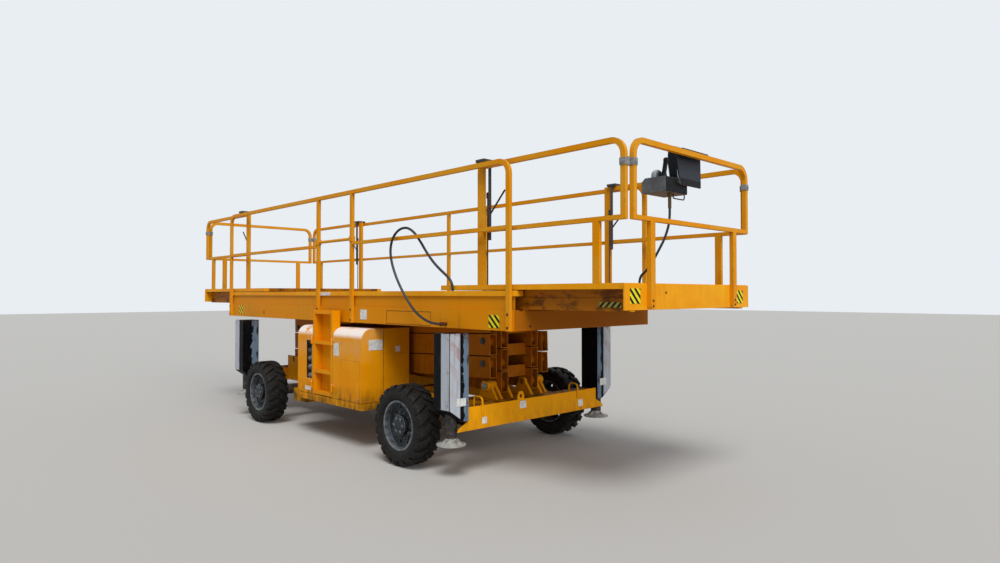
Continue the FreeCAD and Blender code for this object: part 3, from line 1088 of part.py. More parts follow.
def main():
    os.makedirs("parts", exist_ok=True)
    chassis()
    bumpers()
    axles()
    wheels()
    outriggers()
    for level in range(LEVELS):
        inner_arms(level)
        outer_arms(level)
    lift_cylinder()
    platform()
    platform_floor()
    main_rails()
    decks()
    modules()
    ladder()
    control_box()
    save("platform_hose", cord_tube(HOSE_POINTS, HOSE_D))
    save("control_cable", cord_tube(CABLE_POINTS, CABLE_D))


main()
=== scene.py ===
# %% [markdown]
# # Dressing a diesel scissor lift
# The machine's steel arrives as a fixed frame: every part already has its real size and place.
# This lesson gives it what a camera sees: sun-faded enamel, dusty tyres, striped guards, bolts,
# plain plates and two black lines. Each step says what the real thing is before it is made.

# %% Load the frame and read its parts' boxes
import math
import bmesh
import bpy
from mathutils import Matrix, Vector


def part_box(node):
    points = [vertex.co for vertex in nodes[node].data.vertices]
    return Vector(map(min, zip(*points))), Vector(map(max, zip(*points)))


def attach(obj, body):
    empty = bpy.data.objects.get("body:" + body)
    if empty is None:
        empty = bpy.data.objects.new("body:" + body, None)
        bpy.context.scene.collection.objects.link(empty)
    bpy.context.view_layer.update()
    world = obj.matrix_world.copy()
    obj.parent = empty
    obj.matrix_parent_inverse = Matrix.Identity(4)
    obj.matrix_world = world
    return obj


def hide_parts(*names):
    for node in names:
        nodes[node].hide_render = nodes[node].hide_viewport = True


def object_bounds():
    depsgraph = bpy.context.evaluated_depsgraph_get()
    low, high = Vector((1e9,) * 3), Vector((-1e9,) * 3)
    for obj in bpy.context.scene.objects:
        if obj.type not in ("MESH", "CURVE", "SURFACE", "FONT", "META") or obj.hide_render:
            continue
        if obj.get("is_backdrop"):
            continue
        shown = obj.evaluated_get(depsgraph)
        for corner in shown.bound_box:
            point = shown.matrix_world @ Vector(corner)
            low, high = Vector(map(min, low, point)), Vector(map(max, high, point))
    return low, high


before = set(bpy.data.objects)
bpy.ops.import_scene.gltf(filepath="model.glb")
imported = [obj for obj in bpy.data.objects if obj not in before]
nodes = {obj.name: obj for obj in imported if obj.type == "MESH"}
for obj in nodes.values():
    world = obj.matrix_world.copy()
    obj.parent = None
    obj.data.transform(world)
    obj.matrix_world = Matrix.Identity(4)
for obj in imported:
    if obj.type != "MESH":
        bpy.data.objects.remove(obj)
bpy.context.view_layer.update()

# %% [markdown]
# ## The camera
# The photograph was taken by a person standing in front of the right-hand corner, with a wide lens
# held nearly level. A camera object takes the same eye point, heading and lens, so that every edge of the
# machine falls where the picture has it.

# %% Camera
EYE = (6.7908, -4.8680, 1.6281)
HEADING_DEG = 136.193
RISE_DEG = 1.088
LENS_MM, SENSOR_MM = 24.11, 36.0

camera = bpy.data.objects.new("camera", bpy.data.cameras.new("camera"))
bpy.context.scene.collection.objects.link(camera)
camera.data.lens, camera.data.sensor_width = LENS_MM, SENSOR_MM
camera.location = EYE
camera.rotation_euler = (math.radians(90 + RISE_DEG), 0, math.radians(HEADING_DEG - 90))
bpy.context.scene.camera = camera
print("camera at", EYE, "with a", LENS_MM, "mm lens")

# %% [markdown]
# ## Colours and nodes
# Paint charts and photographs give colours as sRGB hex values, but shaders work in linear light.
# One function turns the first into the second. A second small function adds any node, sets its
# properties and fills or links its sockets, so that each material below reads as a short recipe.

# %% Helpers for materials
MM = 0.001


def linear(hex_colour):
    """An sRGB hex colour as the linear colour that shaders take."""
    channels = [int(hex_colour[start:start + 2], 16) / 255 for start in (1, 3, 5)]
    return [c / 12.92 if c <= 0.04045 else ((c + 0.055) / 1.055) ** 2.4 for c in channels] + [1.0]


def add(tree, kind, inputs=None, **settings):
    """Add a node, set its properties, and fill or link its sockets by name or number."""
    made = tree.nodes.new(kind)
    for key, value in settings.items():
        setattr(made, key, value)
    for key, value in (inputs or {}).items():
        socket = made.inputs[key]
        if isinstance(value, bpy.types.NodeSocket):
            tree.links.new(value, socket)
        else:
            socket.default_value = value
    return made


print("amber in linear light:", [round(c, 3) for c in linear("#F0A21A")])

# %% [markdown]
# ## Patterns that weather makes
# Old paint is never even. Broad clouds mark where the sun has bleached it, fine patches are dust,
# tall streaks show where rain has run down, and chips lie along the edges. The patterns are noise at
# a size given in millimetres, read from Object coordinates so that they stay on the steel. Masks say
# which way a face looks or where it lies, and patterns and masks are multiplied to place each effect.

# %% Weather patterns
EDGE_MM = 5.0
SHARP, HAIR = 0.002, 0.001


def maths(tree, operation, first, second):
    """Two numbers or sockets put together, kept from 0 to 1."""
    return add(tree, "ShaderNodeMath", {0: first, 1: second}, operation=operation,
               use_clamp=True).outputs[0]


def times(tree, *shares):
    """Shares multiplied: strong only where all of them are."""
    product = shares[0]
    for share in shares[1:]:
        product = maths(tree, "MULTIPLY", product, share)
    return product


def less(tree, first, second):
    """The first less the second, which may come below zero."""
    return add(tree, "ShaderNodeMath", {0: first, 1: second}, operation="SUBTRACT").outputs[0]


def ramp(tree, value, none_at, full_at):
    """0 where the value is the first number, 1 at the second, and even between."""
    return add(tree, "ShaderNodeMapRange", {"Value": value, "From Min": none_at, "From Max": full_at},
               clamp=True).outputs[0]


def patches(tree, size_mm, low, high, stretch=(1, 1, 1), detail=4.0):
    """Noise patches of about the given size: 0 below low, 1 above high."""
    place = add(tree, "ShaderNodeTexCoord").outputs["Object"]
    placed = add(tree, "ShaderNodeMapping", {"Vector": place, "Scale": stretch})
    noise = add(tree, "ShaderNodeTexNoise", {"Vector": placed.outputs[0], "Scale": 1 / (size_mm * MM),
                                             "Detail": detail, "Roughness": 0.6})
    return ramp(tree, noise.outputs[0], low, high)


def blend(tree, share, first, second):
    """The first colour, with the second over it where share is 1."""
    mixer = add(tree, "ShaderNodeMix", {"Factor": share}, data_type="RGBA")
    for socket, value in ((mixer.inputs[6], first), (mixer.inputs[7], second)):
        if isinstance(value, bpy.types.NodeSocket):
            tree.links.new(value, socket)
        else:
            socket.default_value = linear(value)
    return mixer.outputs[2]


def tint(tree, colour, over, *shares):
    """A colour with another over it, as strong as all the shares multiplied."""
    return blend(tree, times(tree, *shares), colour, over)


def rounded_normal(tree):
    """The normal that the part would have with rounded edges; one node serves a whole material."""
    made = [node for node in tree.nodes if node.bl_idname == "ShaderNodeBevel"]
    bevel = made[0] if made else add(tree, "ShaderNodeBevel", {"Radius": EDGE_MM * MM}, samples=4)
    return bevel.outputs[0]


def worn_edges(tree):
    """1 along the part's edges, where hands and straps rub: the rounded normal leaves the true one."""
    rounded = rounded_normal(tree)
    true = add(tree, "ShaderNodeNewGeometry").outputs["Normal"]
    same = add(tree, "ShaderNodeVectorMath", {0: rounded, 1: true}, operation="DOT_PRODUCT")
    return ramp(tree, same.outputs["Value"], 0.995, 0.9)


def along(tree, vector, axis, unsigned=False):
    """A vector's part along an axis, or the size of that part alone."""
    part = add(tree, "ShaderNodeSeparateXYZ", {0: vector}).outputs[axis]
    return add(tree, "ShaderNodeMath", {0: part}, operation="ABSOLUTE").outputs[0] if unsigned else part


def place_along(tree, axis, both_sides=False):
    """Where a point lies along an axis in metres; both_sides gives its distance from the middle."""
    return along(tree, add(tree, "ShaderNodeTexCoord").outputs["Object"], axis, both_sides)


def facing(tree, axis, none_at, full_at, both_ways=False):
    """0 where the normal's part along an axis is the first value, and 1 at the second."""
    normal = add(tree, "ShaderNodeNewGeometry").outputs["Normal"]
    return ramp(tree, along(tree, normal, axis, both_ways), none_at, full_at)


def facing_up(tree):
    """1 on faces that look at the sky, where dust settles."""
    return facing(tree, "Z", 0.6, 0.95)


def facing_end(tree):
    """1 on faces that look along the machine."""
    return facing(tree, "X", 0.6, 0.8, True)


def between(tree, axis, none_at, full_at, both_sides=False):
    """0 at the first place along an axis and 1 at the second; both_sides takes the distance from 0."""
    return ramp(tree, place_along(tree, axis, both_sides), none_at, full_at)


def low_down(tree, clean_z, dirty_z):
    """0 at the clean height and 1 at the dirty one, where wheels throw mud."""
    return between(tree, "Z", clean_z, dirty_z)


def new_material(name):
    """An empty material and its tree."""
    material = bpy.data.materials.new(name)
    material.use_nodes = True
    material.node_tree.nodes.clear()
    return material, material.node_tree


def close(tree, colour, roughness, bump=None, metallic=0.0, bump_mm=0.5, shine=0.5):
    """Join a colour, a roughness, rounded edges and a bump to the surface shader and the output."""
    shader = add(tree, "ShaderNodeBsdfPrincipled", {"Roughness": roughness, "Metallic": metallic,
                                                    "Specular IOR Level": shine})
    if isinstance(colour, bpy.types.NodeSocket):
        tree.links.new(colour, shader.inputs["Base Color"])
    else:
        shader.inputs["Base Color"].default_value = linear(colour)
    normal = rounded_normal(tree)
    if bump is not None:
        normal = add(tree, "ShaderNodeBump", {"Height": bump, "Distance": bump_mm * MM, "Strength": 0.6,
                                              "Normal": normal}).outputs[0]
    tree.links.new(normal, shader.inputs["Normal"])
    add(tree, "ShaderNodeOutputMaterial", {"Surface": shader.outputs[0]})


print("a bare edge is rounded by", EDGE_MM, "mm in every coat")

# %% [markdown]
# ## Sprayed amber enamel
# The steel is sprayed with amber machine enamel, which dries over a faint orange peel. Years in a
# yard bleach it in clouds and take its gloss, rain leaves brown streaks, dust lies on what faces up
# and near the wheels, and the edges chip to grey primer and rust. One recipe with a few values makes
# the handled rails, the bleached hoods, the muddy chassis, and the scissor arms, grimy and darkened by
# painted shade; end faces under the decks get painted shade too.

# %% Amber enamel
DECK_OVER_X = 2.87


def enamel(name, fresh, bleached, dirt, dirt_share=0.5, mud=(0.9, 0.3), chips=0.55, streaks=0.35,
           crown=0.0, edge="#5A3A22", settled=0.5, shaded=None):
    """Weathered machine enamel: bleached clouds, rain streaks, dust, mud and chipped edges.

    mud is the clean and the muddy height, crown bleaches rounded tops, settled is the dust on faces
    that look up, and shaded is the place along the machine beyond which end faces are painted dark
    brown: painted shade from the sliding decks above them, partly their oily dust.
    """
    material, tree = new_material(name)
    colour = blend(tree, patches(tree, 520, 0.40, 0.66), fresh, bleached)
    if shaded:
        # Painted shade, partly oily dust: end faces beyond the shaded place turn dark brown, as they sit in
        # the decks' shade.
        beyond = between(tree, "X", shaded - 0.01, shaded, True)
        colour = tint(tree, colour, "#A25A04", facing_end(tree), beyond, 0.9)
    wet = patches(tree, 600, 0.45, 0.6)
    colour = tint(tree, colour, dirt, patches(tree, 48, 0.55, 0.80, (1, 1, 0.06)), wet, streaks)
    if crown:
        high = between(tree, "Z", 0.90, 1.04)
        colour = tint(tree, colour, "#E0B27C", high, patches(tree, 300, 0.35, 0.55), crown * 0.35)
        top = facing(tree, "Z", 0.06, 0.40)
        colour = tint(tree, colour, "#F6EEE6", top, patches(tree, 110, 0.34, 0.42, (0.5, 1, 1)), crown)
    dust = times(tree, facing_up(tree), patches(tree, 90, 0.24, 0.6), settled)
    splash = times(tree, low_down(tree, *mud), patches(tree, 60, 0.32, 0.62, (1, 1, 0.35)), dirt_share)
    grime = maths(tree, "MAXIMUM", dust, splash)
    colour = tint(tree, colour, dirt, grime)
    chipped = times(tree, worn_edges(tree), patches(tree, 22, chips, chips + 0.06))
    flecked = patches(tree, 14, 0.75, 0.77, detail=2)
    colour = tint(tree, colour, edge, maths(tree, "MAXIMUM", chipped, flecked))
    rough = maths(tree, "ADD", times(tree, grime, 0.3), 0.45)
    close(tree, colour, rough, patches(tree, 5, 0.2, 0.8, detail=1), bump_mm=0.2, shine=0.06)
    return material


amber = enamel("sprayed_amber_enamel", "#E89100", "#EB9B04", "#8A5A22")
# The beam's end faces under the decks carry painted shade, partly oily dust.
amber_beam = enamel("dusty_beam_enamel", "#DE8A02", "#D88C14", "#80501C", streaks=0.6, shaded=DECK_OVER_X)
amber_hood = enamel("sun_bleached_hood_enamel", "#E89000", "#EC9C0A", "#5C481C", 0.85, (0.66, 0.48),
                    crown=0.95, settled=0.1)
amber_tray = enamel("oily_tray_enamel", "#E09000", "#E49A08", "#57451E", 0.9, (0.58, 0.44), streaks=0.5)
amber_rails = enamel("handled_amber_enamel", "#E08E04", "#DC9C28", "#A06A34", 0.35, (-1, -2), 0.5, 0.4,
                     settled=0.6)
# Painted shade, partly grime: the scissor arms and the parts under the platform take a darker, browner copy
# of the amber, as they look in the platform's shade.
amber_arms = enamel("grimy_amber_enamel", "#BC6804", "#C6760C", "#46290F", 0.7, (1.2, 0.4), 0.4, 0.5,
                    edge="#C98A44", settled=0.8)
amber_low = enamel("muddy_amber_enamel", "#EE9C00", "#F0A408", "#6E4C28", 0.55, (0.62, 0.30), 0.5, 0.3,
                   settled=0.95)
ENAMELS = (amber, amber_beam, amber_hood, amber_tray, amber_rails, amber_arms, amber_low)
print("enamels:", [material.name for material in ENAMELS])

# %% [markdown]
# ## Other coats
# The outrigger sleeves are black enamel that peels from a grey-blue undercoat on the faces towards
# the ends. The corner guards are white sheet with red stripes that the sun has nearly bleached
# away. Pads and screws are galvanised steel, dull and mottled. Stripes come from a position along a
# diagonal, cut into equal bands.

# %% Coats for sleeves, guards, legs and ironwork
DIAGONAL = 1.414
PEEL_Y, PEEL_MORE, PEEL_EDGE, RAGGED = 0.985, 0.032, 0.004, 0.05
GUARD_X, GUARD_Y, SEAM = 2.281, 1.150, 0.004
FLANGE_IN, FLANGE_FULL = 0.022, 0.016


def stripes(tree, width_mm, direction):
    """Bands of equal width across the given direction: 1 on every second band."""
    place = add(tree, "ShaderNodeTexCoord").outputs["Object"]
    reach = add(tree, "ShaderNodeVectorMath", {0: place, 1: direction}, operation="DOT_PRODUCT")
    band = width_mm * MM * DIAGONAL
    wave = add(tree, "ShaderNodeMath", {0: reach.outputs["Value"], 1: 2 * band, 2: 0.0}, operation="WRAP")
    return add(tree, "ShaderNodeMath", {0: wave.outputs[0], 1: band}, operation="LESS_THAN").outputs[0]


sleeve_paint, tree = new_material("peeling_black_enamel")
more = times(tree, between(tree, "X", 0.1, -0.1), PEEL_MORE)
ragged = times(tree, patches(tree, 70, 0.35, 0.65, (1, 1, 0.5)), RAGGED)
reach = less(tree, place_along(tree, "Y", True), maths(tree, "ADD", more, ragged))
inner = ramp(tree, reach, PEEL_Y - RAGGED / 2 + PEEL_EDGE, PEEL_Y - RAGGED / 2)
strip = times(tree, facing_end(tree), inner)
peel = times(tree, strip, patches(tree, 60, 0.66, 0.56, (1, 1, 0.3)))
scuffs = times(tree, worn_edges(tree), patches(tree, 25, 0.5, 0.58))
colour = blend(tree, maths(tree, "MAXIMUM", peel, scuffs), "#07080C", "#6C7F92")
colour = tint(tree, colour, "#4C3C2E", patches(tree, 40, 0.55, 0.85, (1, 1, 0.2)), 0.4)
colour = tint(tree, colour, "#54321F", low_down(tree, 1.18, 1.27), patches(tree, 30, 0.42, 0.55), strip)
close(tree, colour, 0.5, patches(tree, 9, 0.3, 0.8), bump_mm=0.4, shine=0.08)

guard_paint, tree = new_material("bleached_striped_sheet")
kept = times(tree, patches(tree, 120, 0.38, 0.72), between(tree, "Z", 0.62, 1.35))
red = times(tree, stripes(tree, 75, (0, 1, 1)), facing_end(tree), kept)
colour = blend(tree, red, "#B4BAC2", "#A04C48")
colour = tint(tree, colour, "#7E746A", patches(tree, 30, 0.5, 0.8, (1, 1, 0.12)), 0.65)
colour = tint(tree, colour, "#4A423B", patches(tree, 16, 0.70, 0.73, detail=2))
colour = tint(tree, colour, "#4A3A2E", between(tree, "Z", 1.24, 1.31), patches(tree, 34, 0.5, 0.56))
colour = tint(tree, colour, "#1C1A19", between(tree, "X", GUARD_X - SEAM - HAIR, GUARD_X - SEAM, True),
              between(tree, "Y", GUARD_Y - SEAM - HAIR, GUARD_Y - SEAM, True))
close(tree, colour, 0.5, patches(tree, 20, 0.3, 0.8), bump_mm=0.5, shine=0.2)

galvanised, tree = new_material("galvanised_steel")
colour = blend(tree, patches(tree, 12, 0.4, 0.6), "#A6A7A4", "#8B8C8A")
colour = tint(tree, colour, "#6F6252", patches(tree, 45, 0.5, 0.75), 0.7)
close(tree, colour, 0.52, patches(tree, 8, 0.3, 0.8), 0.35, 0.4)

leg_paint, tree = new_material("oiled_black_tube_and_pad")
colour = blend(tree, low_down(tree, 0.352, 0.346), "#111115", "#A3A29C")
colour = tint(tree, colour, "#5B4636", patches(tree, 38, 0.48, 0.66), 0.65)
close(tree, colour, 0.5, patches(tree, 12, 0.3, 0.8), bump_mm=0.5)

rim_paint, tree = new_material("grey_wheel_enamel")
colour = blend(tree, patches(tree, 60, 0.4, 0.65), "#0E141A", "#222B34")
colour = tint(tree, colour, "#4A443C", patches(tree, 22, 0.5, 0.74), 0.5)
colour = tint(tree, colour, "#A2A6A8", worn_edges(tree), 0.75)
axle = sum(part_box("tyre_front_right"), Vector()) / 2
rim_radius = (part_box("rim_front_right")[1].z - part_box("rim_front_right")[0].z) / 2
from_axle = add(tree, "ShaderNodeVectorMath", {0: add(tree, "ShaderNodeCombineXYZ", {
    "X": less(tree, place_along(tree, "X", True), axle.x),
    "Z": less(tree, place_along(tree, "Z"), axle.z)}).outputs[0]}, operation="LENGTH").outputs["Value"]
flange = ramp(tree, from_axle, rim_radius - FLANGE_IN, rim_radius - FLANGE_FULL)
colour = tint(tree, colour, "#8C9296", flange, patches(tree, 50, 0.3, 0.55), 0.65)
close(tree, colour, 0.45, patches(tree, 9, 0.3, 0.8), bump_mm=0.4, shine=0.35)

dark_metal, tree = new_material("oily_dark_enamel")
colour = blend(tree, patches(tree, 50, 0.4, 0.7), "#2B2E31", "#3E4144")
colour = tint(tree, colour, "#5E513F", facing_up(tree), 0.6)
close(tree, colour, 0.48, patches(tree, 10, 0.3, 0.8), bump_mm=0.4)

axle_iron, tree = new_material("sand_cast_iron")
colour = blend(tree, patches(tree, 45, 0.4, 0.66), "#2E2A27", "#5A4A3A")
close(tree, colour, 0.72, patches(tree, 4, 0.2, 0.9), bump_mm=0.8)

latch_steel, tree = new_material("blackened_and_zinc_steel")
colour = blend(tree, between(tree, "X", 3.5, 3.6, True), "#12161D", "#868A8A")
colour = tint(tree, colour, "#6B4A33", patches(tree, 12, 0.5, 0.62), 0.6)
close(tree, colour, 0.5, patches(tree, 6, 0.3, 0.8), bump_mm=0.3)

chrome, tree = new_material("hard_chrome")
colour = blend(tree, times(tree, patches(tree, 30, 0.55, 0.75), 0.5), "#C9CBCC", "#6F675B")
close(tree, colour, 0.16, None, 1.0)

rusty, tree = new_material("rusted_bare_steel")
colour = blend(tree, patches(tree, 9, 0.4, 0.62), "#3A1E12", "#6A3A20")
close(tree, colour, 0.8, patches(tree, 3, 0.2, 0.9), bump_mm=0.6, shine=0.2)

valve_steel, tree = new_material("machined_valve_block")
colour = blend(tree, patches(tree, 30, 0.4, 0.62), "#7C8892", "#A4ADB2")
colour = tint(tree, colour, "#4C4A46", patches(tree, 16, 0.5, 0.7), 0.6)
close(tree, colour, 0.45, patches(tree, 6, 0.3, 0.8), bump_mm=0.3)
STEELS = (sleeve_paint, guard_paint, galvanised, leg_paint, rim_paint, dark_metal, axle_iron, latch_steel,
          chrome, rusty, valve_steel)
print("coats:", [material.name for material in STEELS])

# %% [markdown]
# ## Rubber, moulded covers and deck plate
# Tyres and hoses are both black rubber, but one is brown with yard dust and the other wiped shiny.
# The control box is a grey moulded cover over steel. The decks are walked on, so their tops are
# amber sheet worn to bare steel, with brown dust in the raised pattern of the plate.

# %% Rubber, cover and deck materials
CASE_TOP, CASE_LOW, CAP_END, CAP_SIDE = 2.547, 2.424, 3.888, (-0.266, -0.262)
GLAND_Y, GLAND_HALF = -0.255, 0.025
RUNNER_Y, APRON_X = 0.862, 3.950
LOZENGE = 0.036

tyre_rubber, tree = new_material("dusty_tyre_rubber")
colour = blend(tree, patches(tree, 70, 0.36, 0.66), "#08090A", "#191715")
colour = tint(tree, colour, "#352E26", patches(tree, 14, 0.45, 0.7), 0.6)
close(tree, colour, 0.7, patches(tree, 6, 0.2, 0.9), bump_mm=0.8, shine=0.22)

hose_rubber, tree = new_material("wiped_hose_rubber")
colour = blend(tree, times(tree, patches(tree, 25, 0.5, 0.75), 0.5), "#101013", "#2C2823")
close(tree, colour, 0.42, patches(tree, 3, 0.3, 0.8), bump_mm=0.2)

box_cover, tree = new_material("moulded_grey_cover")
colour = blend(tree, patches(tree, 60, 0.4, 0.66), "#5A5D62", "#6C6F72")
tops = between(tree, "Z", CASE_TOP, CASE_TOP + SHARP)
colour = tint(tree, colour, blend(tree, tops, "#0A0C10", "#2B2F38"), facing_end(tree))
colour = tint(tree, colour, "#A2A6A8", tops, facing(tree, "X", 0.5, 0.4, True))
black = maths(tree, "MAXIMUM", between(tree, "X", CAP_END, CAP_END + SHARP), between(tree, "Y", *CAP_SIDE))
colour = tint(tree, colour, "#0E1218", tops, times(tree, black, facing(tree, "X", 0.9, 0.8, True)))
colour = tint(tree, colour, "#6A5544", facing(tree, "Z", -0.6, -0.9))
gland = times(tree, between(tree, "Y", GLAND_Y - GLAND_HALF - HAIR, GLAND_Y - GLAND_HALF),
              between(tree, "Y", GLAND_Y + GLAND_HALF + HAIR, GLAND_Y + GLAND_HALF))
beneath = blend(tree, gland, "#0C0E12", "#5E4A32")
colour = tint(tree, colour, beneath, low_down(tree, CASE_LOW, CASE_LOW - SHARP))
colour = tint(tree, colour, "#5C5148", patches(tree, 20, 0.5, 0.8), 0.25)
close(tree, colour, 0.5, patches(tree, 2, 0.2, 0.9), bump_mm=0.15, shine=0.12)


def deck_plate(name, top_z):
    """Amber enamel with a walked-on top: bare steel lozenges, dust between them.

    The faces between the runners are browned: painted shade under the deck's overhanging floor, partly
    grime.
    """
    material, tree = new_material(name)
    side = blend(tree, patches(tree, 420, 0.38, 0.68), "#EA9600", "#F4AC18")
    # Painted shade, partly grime: faces between the runners, inside the apron, are browned as in the shade
    # of the floor above them.
    under = times(tree, between(tree, "Y", RUNNER_Y, RUNNER_Y - SHARP, True),
                  between(tree, "X", APRON_X, APRON_X - SHARP, True))
    side = tint(tree, side, "#A25E08", under, 0.92)
    side = tint(tree, side, "#6E3C0C", under, patches(tree, 80, 0.5, 0.62, (0.4, 1, 1)))
    side = tint(tree, side, "#9A6B30", patches(tree, 48, 0.55, 0.8, (1, 1, 0.07)), 0.3)
    turned = add(tree, "ShaderNodeMapping", {"Vector": add(tree, "ShaderNodeTexCoord").outputs["Object"],
                                             "Rotation": (0, 0, math.radians(45))})
    lozenge = add(tree, "ShaderNodeTexVoronoi", {"Vector": turned.outputs[0], "Scale": 1 / LOZENGE,
                                                 "Randomness": 0.0})
    raised = ramp(tree, lozenge.outputs["Distance"], 0.42, 0.3)
    top = blend(tree, patches(tree, 700, 0.36, 0.62), "#C98A2B", "#8F8A80")
    top = tint(tree, top, "#B9B4AA", raised, 0.45)
    top = tint(tree, top, "#77664F", patches(tree, 130, 0.42, 0.7), 0.7)
    over = times(tree, facing_up(tree), low_down(tree, top_z - 2 * SHARP, top_z - SHARP))
    close(tree, blend(tree, over, side, top), 0.5, times(tree, raised, over), bump_mm=2.0, shine=0.12)
    return material


main_top, end_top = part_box("platform_floor")[1].z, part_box("front_deck")[1].z
main_plate = deck_plate("worn_main_deck_plate", main_top)
end_plate = deck_plate("worn_end_deck_plate", end_top)
print("deck plates at", round(main_top, 3), "and", round(end_top, 3), "m")

# %% [markdown]
# ## Coats on the frame's own parts
# A part whose shape is right only needs its finish. A short table says which coat each family of
# parts wears, by the start of its name.

# %% Dress the frame's parts
COATS = (
    ("chassis", amber_low), ("bumpers", amber_low), ("module_trays", amber_tray),
    ("inner_arms", amber_arms), ("outer_arms", amber_arms), ("platform_joists", amber_arms),
    ("platform_spines", amber_arms), ("platform_tracks", amber_arms),
    ("module_cases", amber), ("hood", amber_hood), ("ladder", amber), ("platform_frame", amber_beam),
    ("platform_floor", main_plate), ("front_deck", end_plate), ("rear_deck", end_plate),
    ("main_rail", amber_rails), ("mid_rails", amber_rails), ("entry_bar", amber_rails),
    ("front_deck_rails", amber_rails), ("rear_deck_rails", amber_rails),
    ("front_end_rail", amber_rails), ("rear_end_rail", amber_rails),
    ("front_deck_latch", latch_steel), ("rear_deck_latch", latch_steel),
    ("tyre", tyre_rubber), ("rim", rim_paint), ("outrigger_sleeves", sleeve_paint),
    ("outrigger_leg", leg_paint), ("outrigger_guards", guard_paint), ("control_box", box_cover),
    ("cylinder_rod", chrome), ("cylinder_barrel", dark_metal), ("steering_rod", chrome),
    ("engine_block", dark_metal), ("oil_tank", dark_metal), ("valve_block", valve_steel),
    ("front_axle", axle_iron), ("rear_axle", axle_iron), ("knuckle", axle_iron),
    ("hose_outlet", rusty), ("platform_hose", hose_rubber), ("control_cable", hose_rubber),
)


def coat(node):
    """The coat whose name is the longest start of the node's name."""
    fits = [(len(start), index) for index, (start, _) in enumerate(COATS) if node.startswith(start)]
    return COATS[max(fits)[1]][1] if fits else amber


for name, part in nodes.items():
    part.data.materials.clear()
    part.data.materials.append(coat(name))
print("dressed", len(nodes), "parts")

# %% [markdown]
# ## The two black lines
# A rubber hose arches out of the platform's side, over the mid rail and down to the deck, to follow
# the machine's motion. A thinner cable hangs from the control box. Each is one smooth spline drawn
# through listed points, with a round section. A rubber hose this thick is stiff, so its
# bends are wide.

# %% Hose and cable
HOSE_D, CABLE_D = 0.025, 0.020
HOSE_ROUTE = [(1.995, -1.024, 1.356), (1.900, -1.024, 1.356), (1.780, -1.032, 1.385), (1.650, -1.038, 1.447),
              (1.540, -1.042, 1.540), (1.430, -1.044, 1.660), (1.330, -1.044, 1.790), (1.250, -1.042, 1.930),
              (1.215, -1.040, 2.060), (1.245, -1.036, 2.180), (1.320, -1.018, 2.265), (1.405, -0.980, 2.290),
              (1.490, -0.950, 2.240), (1.590, -0.947, 2.140), (1.690, -0.948, 2.028), (1.800, -0.948, 1.925),
              (1.910, -0.948, 1.850), (2.010, -0.948, 1.790), (2.080, -0.948, 1.725), (2.080, -0.948, 1.651)]
CABLE_ROUTE = [(3.915, -0.255, 2.306), (3.915, -0.255, 2.235), (3.911, -0.268, 2.160),
               (3.893, -0.298, 2.060), (3.862, -0.330, 1.975), (3.825, -0.355, 1.890),
               (3.775, -0.378, 1.810), (3.720, -0.388, 1.765), (3.720, -0.388, 1.710)]


def line_of_rubber(name, route, diameter):
    """A round flexible line along one smooth spline."""
    curve = bpy.data.curves.new(name, "CURVE")
    curve.dimensions = "3D"
    curve.bevel_depth, curve.bevel_resolution, curve.resolution_u = diameter / 2, 4, 8
    curve.use_fill_caps = True
    spline = curve.splines.new("NURBS")
    spline.points.add(len(route) - 1)
    for point, place in zip(spline.points, route):
        point.co = (*place, 1.0)
    spline.order_u = 3
    spline.use_endpoint_u = True
    curve.materials.append(hose_rubber)
    made = bpy.data.objects.new(name, curve)
    bpy.context.scene.collection.objects.link(made)
    return made


hose = line_of_rubber("black_hose", HOSE_ROUTE, HOSE_D)
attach(hose, "platform")
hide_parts("platform_hose")
cable = line_of_rubber("black_cable", CABLE_ROUTE, CABLE_D)
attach(cable, "front_deck")
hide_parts("control_cable")
print("hose and cable follow", len(HOSE_ROUTE), "and", len(CABLE_ROUTE), "points")

# %% [markdown]
# ## From node trees to plain meshes
# Geometry Nodes repeat small things well, but other programs lose instances. So every tree ends by
# making its instances real, its result is copied to a plain mesh, and the modifier goes. The
# helpers here set a modifier's inputs by socket, and hand back a finished piece on its body.

# %% Helpers for pieces


def new_piece(name, mesh):
    """A mesh as an object in the scene, with its place in its mesh."""
    made = bpy.data.objects.new(name, mesh)
    bpy.context.scene.collection.objects.link(made)
    return made


def new_tree(name, sockets):
    """A geometry tree with named inputs and its geometry in and out."""
    tree = bpy.data.node_groups.new(name, "GeometryNodeTree")
    tree.interface.new_socket("Geometry", in_out="INPUT", socket_type="NodeSocketGeometry")
    tree.interface.new_socket("Geometry", in_out="OUTPUT", socket_type="NodeSocketGeometry")
    for socket, kind in sockets:
        tree.interface.new_socket(socket, in_out="INPUT", socket_type=kind)
    source = add(tree, "NodeGroupInput")
    return tree, source.outputs


def end_tree(tree, geometry):
    """Make the instances real, give them their material and send them out."""
    real = add(tree, "GeometryNodeRealizeInstances", {"Geometry": geometry})
    finished = add(tree, "GeometryNodeSetMaterial", {"Geometry": real.outputs[0]})
    source = [node for node in tree.nodes if node.bl_idname == "NodeGroupInput"][0]
    tree.links.new(source.outputs["Material"], finished.inputs["Material"])
    add(tree, "NodeGroupOutput", {"Geometry": finished.outputs[0]})


def grow(name, seed, tree, body, values):
    """Run a tree on a seed mesh and return the result as a plain piece on its body."""
    holder = new_piece(name + "_seed", seed)
    modifier = holder.modifiers.new("grow", "NODES")
    modifier.node_group = tree
    for socket in tree.interface.items_tree:
        if socket.in_out == "INPUT" and socket.name in values:
            modifier[socket.identifier] = values[socket.name]
    bpy.context.view_layer.update()
    graph = bpy.context.evaluated_depsgraph_get()
    mesh = bpy.data.meshes.new_from_object(holder.evaluated_get(graph))
    bpy.data.objects.remove(holder)
    mesh.name = name
    piece = new_piece(name, mesh)
    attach(piece, body)
    return piece


